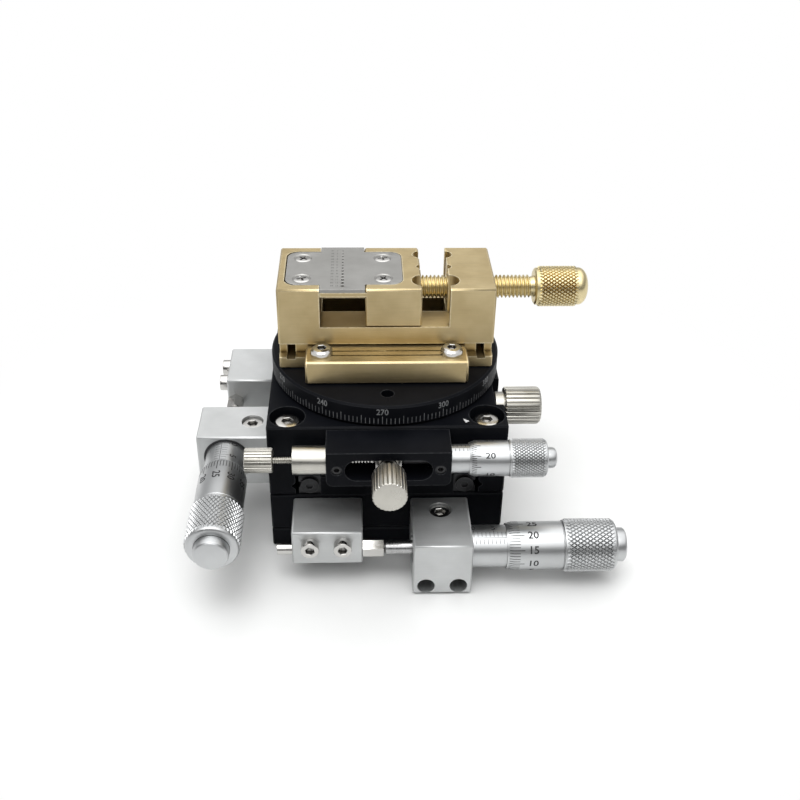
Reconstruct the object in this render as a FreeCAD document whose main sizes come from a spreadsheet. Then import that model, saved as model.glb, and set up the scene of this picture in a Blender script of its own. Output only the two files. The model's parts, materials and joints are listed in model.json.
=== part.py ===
import FreeCAD, Part
import ast
import math
import operator
import os
import re
import Sketcher

# XYR alignment stage: two crossed-roller slides, a graduated rotary table with a tangent-arm
# fine drive, three micrometer heads, and a small brass vise held by two clamp bars.
# Millimetres. The origin is the centre of the base plate's underside, X runs along the lower
# micrometer, Y points away from the operator, Z is up.

SIZES = {
    # base plate, slide blocks and crossed-roller ways
    "base_side": 60.0,
    "plate_height": 5.6,
    "block_height": 11.0,
    "slide_gap": 0.2,
    "edge_break": 0.4,
    "mount_spacing": 50.0,
    "mount_hole_radius": 1.65,
    "rail_height": 5.8,
    "way_half_width": 17.0,
    "way_spread": 23.0,
    "way_gap": 0.8,
    "roller_diameter": 2.0,
    "roller_length": 1.9,
    "roller_pitch": 5.0,
    "roller_clearance": 0.03,
    "cage_length": 46.0,
    "cage_height": 3.4,
    "cage_thickness": 0.4,
    "ceiling_gap": 0.4,
    "end_screw_radius": 2.3,
    "end_screw_height": 0.8,
    "end_screw_depth": 3.0,
    # screws: fit is the radial clearance of a shank in its hole
    "screw_fit": 0.03,
    "small_shank_radius": 1.25,
    "small_head_radius": 2.25,
    "small_head_height": 2.4,
    "small_head_round": 0.3,
    "medium_shank_radius": 1.5,
    "medium_head_radius": 2.1,
    "medium_head_height": 2.6,
    "tap_runout": 1.0,
    # micrometer heads of the slides and the brackets that carry them
    "head_bracket_start": 6.0,
    "head_bracket_width": 14.65,
    "head_bracket_reach": 19.4,
    "head_bracket_rise": 10.2,
    "head_bracket_lift": 0.45,
    "bracket_relief": 0.4,
    "head_axis_reach": 11.9,
    "head_axis_rise": 3.7,
    "mount_screw_spacing": 8.1,
    "mount_screw_height": 2.95,
    "mount_counterbore_radius": 2.22,
    "mount_counterbore_depth": 12.0,
    "mount_screw_depth": 6.0,
    "clamp_screw_reach": 5.3,
    "clamp_counterbore_radius": 2.9,
    "clamp_counterbore_depth": 3.2,
    "clamp_head_fit": 0.25,
    "clamp_screw_length": 8.0,
    "clamp_slit_height": 0.8,
    "stem_radius": 4.0,
    "stem_inset": 0.5,
    "sleeve_radius": 5.3,
    "sleeve_end_gap": 0.3,
    "slide_travel": 6.5,
    "spindle_radius": 1.75,
    "spindle_fit": 0.05,
    "spindle_point": 0.5,
    "thimble_fit": 0.1,
    "thimble_radius": 6.1,
    "thimble_length": 14.5,
    "thimble_bevel": 1.6,
    "thimble_edge": 0.15,
    "grip_radius": 6.65,
    "grip_length": 14.0,
    "grip_start_bevel": 0.4,
    "grip_end_bevel": 1.0,
    "thimble_cap_radius": 4.3,
    "thimble_cap_length": 2.7,
    "thimble_cap_round": 0.8,
    "thimble_end_thickness": 2.0,
    "x_sleeve_showing": 9.5,
    "y_sleeve_showing": 7.4,
    "y_drive_shift": 2.0,
    # anvil brackets on the moving blocks
    "anvil_bracket_end": -6.4,
    "anvil_bracket_width": 17.6,
    "anvil_bracket_reach": 14.15,
    "anvil_bracket_height": 10.1,
    "anvil_bracket_lift": 0.2,
    "anvil_screw_spacing": 8.1,
    "anvil_screw_offset": 9.0,
    "anvil_screw_rise": 6.3,
    "anvil_screw_depth": 5.4,
    "anvil_hex_radius": 2.35,
    "anvil_hex_length": 5.2,
    "anvil_stub_radius": 1.5,
    "anvil_stub_length": 3.0,
    "anvil_plug_length": 3.8,
    "tip_gap": 0.1,
    # rotary base
    "rotary_height": 9.8,
    "corner_screw_inset": 5.0,
    "corner_counterbore_radius": 4.5,
    "corner_counterbore_depth": 3.2,
    "corner_head_radius": 3.4,
    "corner_head_height": 2.0,
    "corner_head_round": 1.1,
    "corner_shank_radius": 2.0,
    "corner_screw_length": 10.2,
    "hub_radius": 24.0,
    "hub_lift": 0.4,
    "hub_gap": 0.3,
    "bearing_wall": 2.35,
    "bearing_height": 1.3,
    "bearing_lift": 0.4,
    "bearing_top_gap": 0.1,
    "running_fit": 0.05,
    "journal_radius": 17.0,
    "journal_lift": 0.3,
    "retainer_lip": 1.4,
    "retainer_thickness": 1.0,
    "retainer_side_gap": 0.8,
    "retainer_floor_gap": 0.4,
    # rotation lock screw at the right
    "lock_axis_depth": 16.2,
    "lock_axis_height": 6.8,
    "notch_front": 4.1,
    "notch_back": 8.2,
    "notch_depth": 2.2,
    "lock_shoulder_radius": 3.6,
    "lock_knob_gap": 0.3,
    "lock_knob_radius": 4.9,
    "lock_knob_length": 9.5,
    "lock_knob_round": 1.2,
    "shoe_length": 5.36,
    "shoe_radius": 2.0,
    "shoe_gap": 0.1,
    # tangent-arm fine drive
    "arm_height": 3.8,
    "arm_width": 6.3,
    "arm_rise": 0.2,
    "arm_window_half": 6.7,
    "arm_head_height": 5.0,
    "arm_head_inner": 1.8,
    "arm_head_outer": 3.0,
    "ring_bore_gap": 0.35,
    "fine_axis_reach": 5.2,
    "fine_block_width": 30.4,
    "fine_block_depth": 9.9,
    "fine_block_drop": 0.7,
    "fine_block_height": 9.8,
    "fine_block_round": 1.6,
    "fine_slot_margin": 4.5,
    "fine_slot_height": 6.0,
    "fine_back_wall": 2.6,
    "fine_screw_inset": 6.5,
    "fine_screw_head_radius": 1.85,
    "fine_screw_head_height": 1.0,
    "fine_screw_shank_radius": 1.0,
    "fine_screw_length": 7.0,
    "grub_radius": 1.3,
    "grub_inset": 2.6,
    "grub_recess": 0.3,
    "thumb_shank_radius": 1.5,
    "thumb_collar_radius": 2.2,
    "thumb_seat_gap": 0.3,
    "thumb_collar_length": 3.4,
    "thumb_radius": 4.2,
    "thumb_length": 8.4,
    "clamp_pad_length": 1.2,
    "nose_radius": 2.45,
    "nose_length": 4.2,
    "theta_sleeve_radius": 3.55,
    "theta_travel": 3.0,
    "theta_sleeve_showing": 4.6,
    "theta_thimble_radius": 4.35,
    "theta_thimble_length": 10.7,
    "theta_bevel": 1.2,
    "theta_grip_radius": 4.68,
    "theta_grip_length": 8.2,
    "theta_grip_start_bevel": 0.3,
    "theta_grip_end_bevel": 0.6,
    "theta_cap_radius": 2.6,
    "theta_cap_length": 2.1,
    "theta_cap_round": 1.2,
    "theta_end_thickness": 2.3,
    "theta_spindle_radius": 1.25,
    "theta_spindle_point": 0.4,
    "theta_tip_gap": 0.15,
    "plunger_radius": 3.55,
    "plunger_length": 8.2,
    "plunger_wall": 1.0,
    "plunger_front_wall": 2.0,
    "plunger_pin_radius": 1.25,
    "plunger_pin_length": 14.3,
    "plunger_collar_radius": 1.75,
    "plunger_collar_length": 0.8,
    "preload_rod_radius": 0.9,
    "preload_rod_length": 4.8,
    "preload_seat_radius": 1.75,
    "preload_seat_length": 0.6,
    "preload_seat_gap": 0.15,
    "preload_knob_radius": 3.1,
    "preload_knob_length": 6.9,
    "flute_count": 22.0,
    "flute_depth": 0.35,
    "flute_half_width": 0.42,
    "knob_round": 0.6,
    # table
    "table_thickness": 5.7,
    "table_gap": 0.3,
    "table_bevel": 0.5,
    "table_hole_radius": 1.65,
    "table_hole_circle": 24.0,
    "table_hole_depth": 5.0,
    # vise body
    "vise_length": 54.5,
    "vise_width": 24.0,
    "vise_height": 22.6,
    "vise_bed_height": 12.0,
    "vise_foot_height": 3.3,
    "groove_height": 3.9,
    "groove_depth": 2.9,
    "fixed_jaw_length": 11.45,
    "rear_block_length": 10.55,
    "bed_slot_width": 7.2,
    "bed_slot_depth": 4.3,
    "keeper_pocket_width": 12.0,
    "keeper_pocket_end_gap": 0.3,
    "tenon_width": 7.0,
    "tenon_setback": 0.8,
    "side_slot_width": 2.1,
    "side_slot_inset": 3.0,
    "side_slot_depth": 9.0,
    "side_slot_drop": 0.5,
    # moving jaw and what it carries
    "jaw_length": 14.1,
    "jaw_travel": 7.0,
    "jaw_lift": 0.1,
    "bridge_gap": 0.1,
    "bridge_thickness": 1.15,
    "tail_length": 8.6,
    "tail_width": 18.4,
    "tail_gap": 0.3,
    "plate_thickness": 0.9,
    "plate_reach": 9.4,
    "plate_round": 3.0,
    "plate_fit": 0.1,
    "plate_screw_tail_inset": 4.0,
    "plate_screw_jaw_inset": 4.8,
    "plate_screw_side_inset": 3.5,
    "plate_screw_head_radius": 2.3,
    "plate_screw_neck_radius": 1.3,
    "plate_screw_shank_radius": 0.9,
    "gauge_hole_count": 13,
    "gauge_hole_pitch": 1.65,
    "gauge_hole_first_radius": 0.42,
    "gauge_hole_step": 0.022,
    "notch_front_radius": 3.0,
    "notch_front_place": -7.0,
    "notch_middle_radius": 1.15,
    "notch_middle_place": 0.6,
    "notch_back_radius": 1.95,
    "notch_back_place": 7.7,
    "notch_setback": 0.5,
    "screw_axis_drop": 5.4,
    "screw_tip_gap": 0.3,
    "screw_radius": 3.0,
    "screw_bore_depth": 6.9,
    "screw_button_radius": 2.6,
    "screw_button_length": 1.3,
    "screw_neck_radius": 1.9,
    "screw_neck_length": 1.7,
    "vise_knob_gap": 11.05,
    "vise_knob_radius": 5.2,
    "vise_knob_length": 14.0,
    "vise_knob_dome": 2.4,
    "jaw_pin_radius": 0.75,
    "jaw_pin_overreach": 2.5,
    "keeper_gap": 0.2,
    "keeper_thickness": 2.2,
    "keeper_width": 11.4,
    "keeper_length": 11.6,
    # clamp bars
    "clamp_bar_length": 40.8,
    "clamp_bar_depth": 7.7,
    "clamp_bar_gap": 0.3,
    "clamp_toe_length": 2.6,
    "clamp_toe_thickness": 3.3,
    "clamp_bar_lift": 0.2,
    "clamp_screw_spacing": 32.6,
    "clamp_screw_setback": 3.2,
    "button_head_radius": 2.65,
    "button_head_height": 1.7,
    "button_head_round": 1.2,
    "button_screw_depth": 4.0,
}

doc = FreeCAD.newDocument("AlignmentStage")
sheet = doc.addObject("Spreadsheet::Sheet", "Size")
for row, (alias, size) in enumerate(SIZES.items(), start=1):
    sheet.set(f"A{row}", alias)
    sheet.set(f"B{row}", str(size))
    sheet.setAlias(f"B{row}", alias)
doc.recompute()

AXES = {
    "+Z": FreeCAD.Rotation(),
    "-Z": FreeCAD.Rotation(FreeCAD.Vector(1, 0, 0), 180),
    "+X": FreeCAD.Rotation(FreeCAD.Vector(0, 1, 0), 90),
    "-X": FreeCAD.Rotation(FreeCAD.Vector(0, 1, 0), -90),
    "+Y": FreeCAD.Rotation(FreeCAD.Vector(1, 0, 0), -90),
    "-Y": FreeCAD.Rotation(FreeCAD.Vector(1, 0, 0), 90),
}
QUARTER_TURN = FreeCAD.Rotation(FreeCAD.Vector(0, 0, 1), -90)
JOINS = {
    ast.Add: operator.add,
    ast.Sub: operator.sub,
    ast.Mult: operator.mul,
    ast.Div: operator.truediv,
}
OVER = "2"
SMALL_GAP = "0.2"
nodes = []


# ---------------------------------------------------------------- expressions and sketches

def sized(text):
    """Turn plain alias names into references to the sheet of sizes."""
    return re.sub(r"\b([a-z]+(?:_[a-z0-9]+)+)\b", r"Size.\1", text)


def worked_out(term):
    """Number for one term of an expression in size names, + - * / and sqrt."""
    if isinstance(term, ast.Constant):
        return float(term.value)
    if isinstance(term, ast.Name):
        return SIZES[term.id]
    if isinstance(term, ast.UnaryOp):
        return -worked_out(term.operand)
    if isinstance(term, ast.Call):
        return math.sqrt(worked_out(term.args[0]))
    join = JOINS[type(term.op)]
    return join(worked_out(term.left), worked_out(term.right))


def value(text):
    """Starting number for a sketch point that the sheet's expression then holds."""
    return worked_out(ast.parse(text).body[0].value)


def bind(item, prop, text):
    item.setExpression(prop, sized(text))


def minus(text):
    return f"-({text})"


def new_body(label):
    body = doc.addObject("PartDesign::Body", label)
    body.Label = label
    return body


def origin_part(body, role):
    return [item for item in body.Origin.OriginFeatures if item.Role == role][0]


def new_sketch(body, plane, offset):
    sketch = body.newObject("Sketcher::SketchObject", body.Name + "_sketch")
    sketch.AttachmentSupport = [(origin_part(body, plane + "_Plane"), "")]
    sketch.MapMode = "FlatFace"
    bind(sketch, "AttachmentOffset.Base.z", offset)
    return sketch


def hold_point(sketch, element, vertex, x, y):
    for kind, text in (("DistanceX", x), ("DistanceY", y)):
        rule = Sketcher.Constraint(kind, -1, 1, element, vertex, value(text))
        index = sketch.addConstraint(rule)
        bind(sketch, f"Constraints[{index}]", text)


def draw_polygon(sketch, corners):
    first = sketch.GeometryCount
    points = [FreeCAD.Vector(value(x), value(y), 0) for x, y in corners]
    for start, end in zip(points, points[1:] + points[:1]):
        sketch.addGeometry(Part.LineSegment(start, end))
    for index, (x, y) in enumerate(corners):
        following = first + (index + 1) % len(corners)
        sketch.addConstraint(Sketcher.Constraint("Coincident", first + index, 2, following, 1))
        hold_point(sketch, first + index, 1, x, y)


def draw_disc(sketch, x, y, radius):
    centre = FreeCAD.Vector(value(x), value(y), 0)
    circle = Part.Circle(centre, FreeCAD.Vector(0, 0, 1), value(radius))
    element = sketch.addGeometry(circle)
    hold_point(sketch, element, 3, x, y)
    index = sketch.addConstraint(Sketcher.Constraint("Radius", element, value(radius)))
    bind(sketch, f"Constraints[{index}]", radius)


def rectangle(x0, x1, y0, y1):
    return [(x0, y0), (x1, y0), (x1, y1), (x0, y1)]


def extrude(body, plane, shapes, low, high, cut=False):
    """Pad or pocket the shapes between two places on the world axis across the plane.

    A shape is a list of corners, or a tuple (x, y, radius) for a disc.
    """
    start = minus(high) if plane == "XZ" else low
    sketch = new_sketch(body, plane, start)
    for shape in shapes:
        if isinstance(shape, list):
            draw_polygon(sketch, shape)
        else:
            draw_disc(sketch, *shape)
    kind = "PartDesign::Pocket" if cut else "PartDesign::Pad"
    feature = body.newObject(kind, body.Name + ("_cut" if cut else "_pad"))
    feature.Profile = sketch
    bind(feature, "Length", f"({high}) - ({low})")
    if cut:
        feature.Reversed = True
    body.Tip = feature
    return feature


def revolve(body, outline):
    """Turn a closed outline of (radius, height) corners about the body's own Z axis."""
    sketch = new_sketch(body, "XZ", "0")
    draw_polygon(sketch, outline)
    feature = body.newObject("PartDesign::Revolution", body.Name + "_turned")
    feature.Profile = sketch
    feature.ReferenceAxis = (sketch, ["V_Axis"])
    feature.Angle = 360
    body.Tip = feature
    return feature


def hex_socket(body, radius, depth, top):
    """Sink a hexagonal socket below the height top on the body's own Z axis."""
    socket = body.newObject("PartDesign::SubtractivePrism", body.Name + "_socket")
    socket.AttachmentSupport = [(origin_part(body, "XY_Plane"), "")]
    socket.MapMode = "FlatFace"
    socket.Polygon = 6
    bind(socket, "Circumradius", radius)
    bind(socket, "Height", f"({depth}) + {OVER}")
    bind(socket, "AttachmentOffset.Base.z", f"({top}) - ({depth})")
    body.Tip = socket


def edge_names(body, wanted):
    doc.recompute()
    edges = body.Shape.Edges
    return [f"Edge{index + 1}" for index, edge in enumerate(edges) if wanted(edge)]


def dress(body, kind, size_property, size, wanted):
    """Chamfer or fillet the edges of the body's tip that pass the test."""
    base = body.Tip
    names = edge_names(body, wanted)
    feature = body.newObject("PartDesign::" + kind, body.Name + "_" + kind.lower())
    feature.Base = (base, names)
    bind(feature, size_property, size)
    body.Tip = feature


def on_box_edge(body):
    """Test for straight edges that run along the outer box of the body."""
    doc.recompute()
    box = body.Shape.BoundBox
    low = (box.XMin, box.YMin, box.ZMin)
    high = (box.XMax, box.YMax, box.ZMax)

    def wanted(edge):
        middle = edge.CenterOfMass
        limits = zip(middle, low, high)
        touching = [min(abs(m - a), abs(m - b)) < 1e-4 for m, a, b in limits]
        return sum(touching) == 2

    return wanted


def break_edges(body, size="edge_break"):
    dress(body, "Chamfer", "Size", size, on_box_edge(body))


def upright_at(corners):
    """Test for upright edges standing at the given (x, y) places of the body."""
    places = [(value(x), value(y)) for x, y in corners]

    def wanted(edge):
        box = edge.BoundBox
        upright = box.XLength < 1e-4 and box.YLength < 1e-4 and box.ZLength > 1e-3
        here = [abs(box.XMin - x) < 1e-3 and abs(box.YMin - y) < 1e-3 for x, y in places]
        return upright and any(here)

    return wanted


def rim_at(height, radius):
    """Test for the circular edge of the given radius at the given height."""
    level = value(height)
    size = value(radius)

    def wanted(edge):
        round_edge = isinstance(edge.Curve, Part.Circle)
        return round_edge and abs(edge.BoundBox.ZMax - level) < 1e-4 \
            and abs(edge.BoundBox.ZMin - level) < 1e-4 and abs(edge.Curve.Radius - size) < 1e-4

    return wanted


def flute(body, radius, low, high):
    """Cut straight V flutes round a knob between two heights."""
    bottom = f"({radius}) - flute_depth"
    outside = f"({radius}) + flute_depth"
    corners = [(bottom, "0"), (outside, "2 * flute_half_width"), (outside, "-2 * flute_half_width")]
    groove = extrude(body, "XY", [corners], low, high, cut=True)
    pattern = body.newObject("PartDesign::PolarPattern", body.Name + "_flutes")
    pattern.Originals = [groove]
    pattern.Axis = (origin_part(body, "Z_Axis"), [""])
    pattern.Angle = 360
    bind(pattern, "Occurrences", "flute_count")
    body.Tip = pattern


# ---------------------------------------------------------------- placing and grouping

def place(item, x, y, z, axis="+Z", drive=None):
    """Seat an item; drive "y" turns the place into the upper slide's frame."""
    rotation = AXES[axis]
    if drive == "y":
        x, y, z = y, f"-({x}) + y_drive_shift", f"({z}) + ({STAGE_LIFT})"
        rotation = QUARTER_TURN.multiply(rotation)
    item.Placement = FreeCAD.Placement(FreeCAD.Vector(), rotation)
    bind(item, "Placement.Base.x", x)
    bind(item, "Placement.Base.y", y)
    bind(item, "Placement.Base.z", z)


def lift_to_upper(item, shifted=True):
    """Turn an item drawn in the lower slide's frame into the upper slide's frame."""
    item.Placement = FreeCAD.Placement(FreeCAD.Vector(), QUARTER_TURN)
    if shifted:
        bind(item, "Placement.Base.y", "y_drive_shift")
    bind(item, "Placement.Base.z", STAGE_LIFT)


def finish(item):
    nodes.append(item)
    return item


def group(label, members):
    compound = doc.addObject("Part::Compound", label)
    compound.Label = label
    compound.Links = members
    return finish(compound)


def cap_screw(label, shank_radius, length, head_radius, head_height, socket, rounding=None):
    """Socket screw with its head seat at height 0 and its shank pointing down."""
    body = new_body(label)
    revolve(body, [
        ("0", minus(length)), (shank_radius, minus(length)), (shank_radius, "0"),
        (head_radius, "0"), (head_radius, head_height), ("0", head_height),
    ])
    if rounding:
        dress(body, "Fillet", "Radius", rounding, rim_at(head_height, head_radius))
    hex_socket(body, socket, f"({head_height}) * 0.6", head_height)
    return body


# ---------------------------------------------------------------- levels and shared places

HALF_SIDE = "base_side / 2"
STAGE_LIFT = "slide_gap + block_height"
X_TOP = f"(plate_height + {STAGE_LIFT})"
Y_TOP = f"({X_TOP} + {STAGE_LIFT})"
ROTARY_TOP = f"({Y_TOP} + rotary_height)"
TABLE_FOOT = f"({ROTARY_TOP} + table_gap)"
TABLE_TOP = f"({TABLE_FOOT} + table_thickness)"
ROLLER_LEVEL = "(plate_height + rail_height / 2)"
RAIL_HALF = "(base_side / 2 - end_screw_height)"
V_HALF = "((roller_diameter / 2 + roller_clearance) * sqrt(2) - way_gap / 2)"
FIXED_FACE = "(way_spread - way_gap / 2)"
MOVING_FACE = "(way_spread + way_gap / 2)"
RAIL_MIDDLE = f"((way_half_width + {FIXED_FACE}) / 2)"
HEAD_AXIS_Y = "(-base_side / 2 - head_axis_reach)"
HEAD_AXIS_Z = "(plate_height + head_axis_rise)"
HEAD_TOP = "(plate_height + head_bracket_rise)"
HEAD_END = "(head_bracket_start + head_bracket_width)"
HEAD_MIDDLE = "(head_bracket_start + head_bracket_width / 2)"
ANVIL_START = "(anvil_bracket_end - anvil_bracket_width)"
ANVIL_FOOT = "(plate_height + slide_gap + anvil_bracket_lift)"
ANVIL_SCREW_X = "(anvil_bracket_end - anvil_screw_offset)"
ANVIL_SCREW_Z = f"({ANVIL_FOOT} + anvil_screw_rise)"
LOCK_Y = "(-lock_axis_depth)"
SHOE_SEAT = "(hub_radius + shoe_gap)"
SHOE_START = f"sqrt({SHOE_SEAT} * {SHOE_SEAT} - lock_axis_depth * lock_axis_depth)"
LOCK_TIP = f"({SHOE_START} + shoe_length)"
LOCK_Z = f"({Y_TOP} + lock_axis_height)"
BORE_RADIUS = "(hub_radius + hub_gap)"
BEARING_OUTER = "(journal_radius + running_fit + bearing_wall)"
RING_LEDGE = f"({Y_TOP} + bearing_lift + bearing_height + bearing_top_gap)"
ARM_FOOT = f"({RING_LEDGE} + arm_rise)"
ARM_TOP = f"({ARM_FOOT} + arm_height)"
FINE_Z = f"(({ARM_FOOT} + {ARM_TOP}) / 2)"
FINE_BACK = "(-base_side / 2)"
FINE_FRONT = f"({FINE_BACK} - fine_block_depth)"
FINE_Y = f"({FINE_BACK} - fine_axis_reach)"
FINE_SCREW_X = "(fine_block_width / 2 - fine_screw_inset)"
GRUB_X = "(fine_block_width / 2 - grub_inset)"
ARM_END = f"({FINE_Y} - arm_head_outer)"
JOURNAL_FOOT = f"({Y_TOP} + journal_lift)"
HUB_FOOT = f"({ARM_TOP} + hub_lift)"
RETAINER_RADIUS = "(journal_radius + retainer_lip)"
TABLE_RADIUS = "(base_side / 2)"
VISE_TOP = f"({TABLE_TOP} + vise_height)"
VISE_BED = f"({TABLE_TOP} + vise_bed_height)"
VISE_LEDGE = f"({TABLE_TOP} + vise_foot_height)"
VISE_END = "(vise_length / 2)"
FIXED_JAW_FACE = f"({VISE_END} - fixed_jaw_length)"
REAR_FACE = f"({VISE_END} * -1 + rear_block_length)"
JAW_FACE = f"({FIXED_JAW_FACE} - jaw_travel)"
JAW_BACK = f"({JAW_FACE} - jaw_length)"
JAW_FOOT = f"({VISE_BED} + jaw_lift)"
PLATE_FOOT = f"({VISE_TOP} - plate_thickness)"
BRIDGE_FOOT = f"({PLATE_FOOT} - bridge_thickness)"
BRIDGE_START = f"({REAR_FACE} + bridge_gap)"
TAIL_START = f"({BRIDGE_START} - tail_length)"
SLOT_FLOOR = f"({VISE_BED} - bed_slot_depth)"
KEEPER_TOP = f"({SLOT_FLOOR} - keeper_gap)"
SCREW_Z = f"({VISE_TOP} - screw_axis_drop)"
SCREW_TIP = f"({JAW_FACE} - screw_bore_depth + screw_tip_gap)"
PLATE_END = f"({JAW_BACK} + plate_reach)"
JAW_PIN_LENGTH = f"({SCREW_Z} - {JAW_FOOT} + jaw_pin_overreach)"
PLATE_MIDDLE = f"(({BRIDGE_START} + {JAW_BACK}) / 2)"
CORNER_SPACING = "(base_side - 2 * corner_screw_inset)"
SIGNS = ("-1", "1")


def each_corner(x_spacing, y_spacing):
    return [(f"{i} * ({x_spacing}) / 2", f"{j} * ({y_spacing}) / 2") for i in SIGNS for j in SIGNS]


def head_screw_places():
    """Places along the slide of the two screws that hold a head bracket."""
    return [f"{HEAD_MIDDLE} + {i} * mount_screw_spacing / 2" for i in SIGNS]


def anvil_screw_places():
    return [f"{ANVIL_SCREW_X} + {i} * anvil_screw_spacing / 2" for i in SIGNS]


# ---------------------------------------------------------------- slides

def base_plate():
    body = new_body("base_plate")
    half = HALF_SIDE
    extrude(body, "XY", [rectangle(minus(half), half, minus(half), half)], "0", "plate_height")
    break_edges(body)
    way = rectangle("-way_half_width", "way_half_width", "plate_height", "plate_height + rail_height")
    extrude(body, "YZ", [way], minus(half), half)
    holes = [(x, y, "mount_hole_radius") for x, y in each_corner("mount_spacing", "mount_spacing")]
    extrude(body, "XY", holes, f"-{OVER}", f"plate_height + {OVER}", cut=True)
    tapped = "medium_shank_radius + screw_fit"
    holes = [(x, "mount_screw_height", tapped) for x in head_screw_places()]
    extrude(body, "XZ", holes, f"-{half} - {OVER}", f"-{half} + mount_screw_depth + tap_runout", cut=True)
    return finish(body)


def stage_block(label, shift):
    """Sliding block drawn in the lower slide's frame: skirts with V grooves over the way.

    shift moves its anvil screw holes back against the drive unit's own shift.
    """
    body = new_body(label)
    foot = "plate_height + slide_gap"
    top = X_TOP
    ceiling = "plate_height + rail_height + ceiling_gap"
    half = HALF_SIDE
    extrude(body, "XY", [rectangle(minus(half), half, minus(half), half)], foot, top)
    break_edges(body)
    channel = [
        (minus(MOVING_FACE), f"{foot} - {OVER}"), (minus(MOVING_FACE), f"{ROLLER_LEVEL} - {V_HALF}"),
        (f"-{MOVING_FACE} - {V_HALF}", ROLLER_LEVEL), (minus(MOVING_FACE), f"{ROLLER_LEVEL} + {V_HALF}"),
        (minus(MOVING_FACE), ceiling), (MOVING_FACE, ceiling),
        (MOVING_FACE, f"{ROLLER_LEVEL} + {V_HALF}"), (f"{MOVING_FACE} + {V_HALF}", ROLLER_LEVEL),
        (MOVING_FACE, f"{ROLLER_LEVEL} - {V_HALF}"), (MOVING_FACE, f"{foot} - {OVER}"),
    ]
    extrude(body, "YZ", [channel], f"-{half} - {OVER}", f"{half} + {OVER}", cut=True)
    holes = [(f"{x} - ({shift})", ANVIL_SCREW_Z, "small_shank_radius + screw_fit")
             for x in anvil_screw_places()]
    extrude(body, "XZ", holes, f"-{half} - {OVER}", f"-{half} + anvil_screw_depth + {SMALL_GAP}", cut=True)
    return body


def x_block():
    body = stage_block("x_block", "0")
    half = HALF_SIDE
    way = rectangle("-way_half_width", "way_half_width", X_TOP, f"{X_TOP} + rail_height")
    extrude(body, "XZ", [way], minus(half), half)
    level = f"mount_screw_height + {STAGE_LIFT}"
    tapped = "medium_shank_radius + screw_fit"
    holes = [(f"-({x}) + y_drive_shift", level, tapped) for x in head_screw_places()]
    extrude(body, "YZ", holes, f"-{half} - {OVER}", f"-{half} + mount_screw_depth + tap_runout", cut=True)
    return finish(body)


def y_block():
    body = stage_block("y_block", "y_drive_shift")
    pocket = ("0", "0", f"{RETAINER_RADIUS} + retainer_side_gap")
    floor = f"{X_TOP} + journal_lift - retainer_thickness - retainer_floor_gap"
    extrude(body, "XY", [pocket], floor, f"{X_TOP} + {OVER}", cut=True)
    tapped = "corner_shank_radius + screw_fit"
    places = each_corner(CORNER_SPACING, CORNER_SPACING)
    depth = f"corner_screw_length - rotary_height + corner_counterbore_depth + {SMALL_GAP}"
    extrude(body, "XY", [(x, y, tapped) for x, y in places],
            f"{X_TOP} - ({depth})", f"{X_TOP} + {OVER}", cut=True)
    lift_to_upper(body, shifted=False)
    return finish(body)


def way_rails(label, drive):
    """The two hardened rails of a way, each with a V groove facing its skirt."""
    rails = []
    low = "plate_height"
    high = "plate_height + rail_height"
    for side in SIGNS:
        body = new_body(f"{label}_{'back' if side == '1' else 'front'}")
        corners = [
            (f"{side} * way_half_width", low), (f"{side} * {FIXED_FACE}", low),
            (f"{side} * {FIXED_FACE}", f"{ROLLER_LEVEL} - {V_HALF}"),
            (f"{side} * ({FIXED_FACE} - {V_HALF})", ROLLER_LEVEL),
            (f"{side} * {FIXED_FACE}", f"{ROLLER_LEVEL} + {V_HALF}"),
            (f"{side} * {FIXED_FACE}", high), (f"{side} * way_half_width", high),
        ]
        extrude(body, "YZ", [corners], f"-{RAIL_HALF}", RAIL_HALF)
        depth = f"(end_screw_depth + {SMALL_GAP})"
        hole = [(f"{side} * {RAIL_MIDDLE}", ROLLER_LEVEL, "fine_screw_shank_radius + screw_fit")]
        extrude(body, "YZ", hole, f"{RAIL_HALF} - {depth}", f"{RAIL_HALF} + {OVER}", cut=True)
        extrude(body, "YZ", hole, f"-{RAIL_HALF} - {OVER}", f"-{RAIL_HALF} + {depth}", cut=True)
        if drive == "y":
            lift_to_upper(body, shifted=False)
        rails.append(body)
    return group(label, rails)


def rail_end_screws(label, drive):
    screws = []
    for end in SIGNS:
        for side in SIGNS:
            screw = cap_screw(f"{label}_part", "fine_screw_shank_radius", "end_screw_depth",
                              "end_screw_radius", "end_screw_height", "end_screw_radius * 0.45")
            x, y, z = f"{end} * {RAIL_HALF}", f"{side} * {RAIL_MIDDLE}", ROLLER_LEVEL
            axis = "+X" if end == "1" else "-X"
            if drive == "y":
                axis = "-Y" if end == "1" else "+Y"
                x, y, z = y, minus(x), f"{z} + {STAGE_LIFT}"
            place(screw, x, y, z, axis)
            screws.append(screw)
    return group(label, screws)


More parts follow.
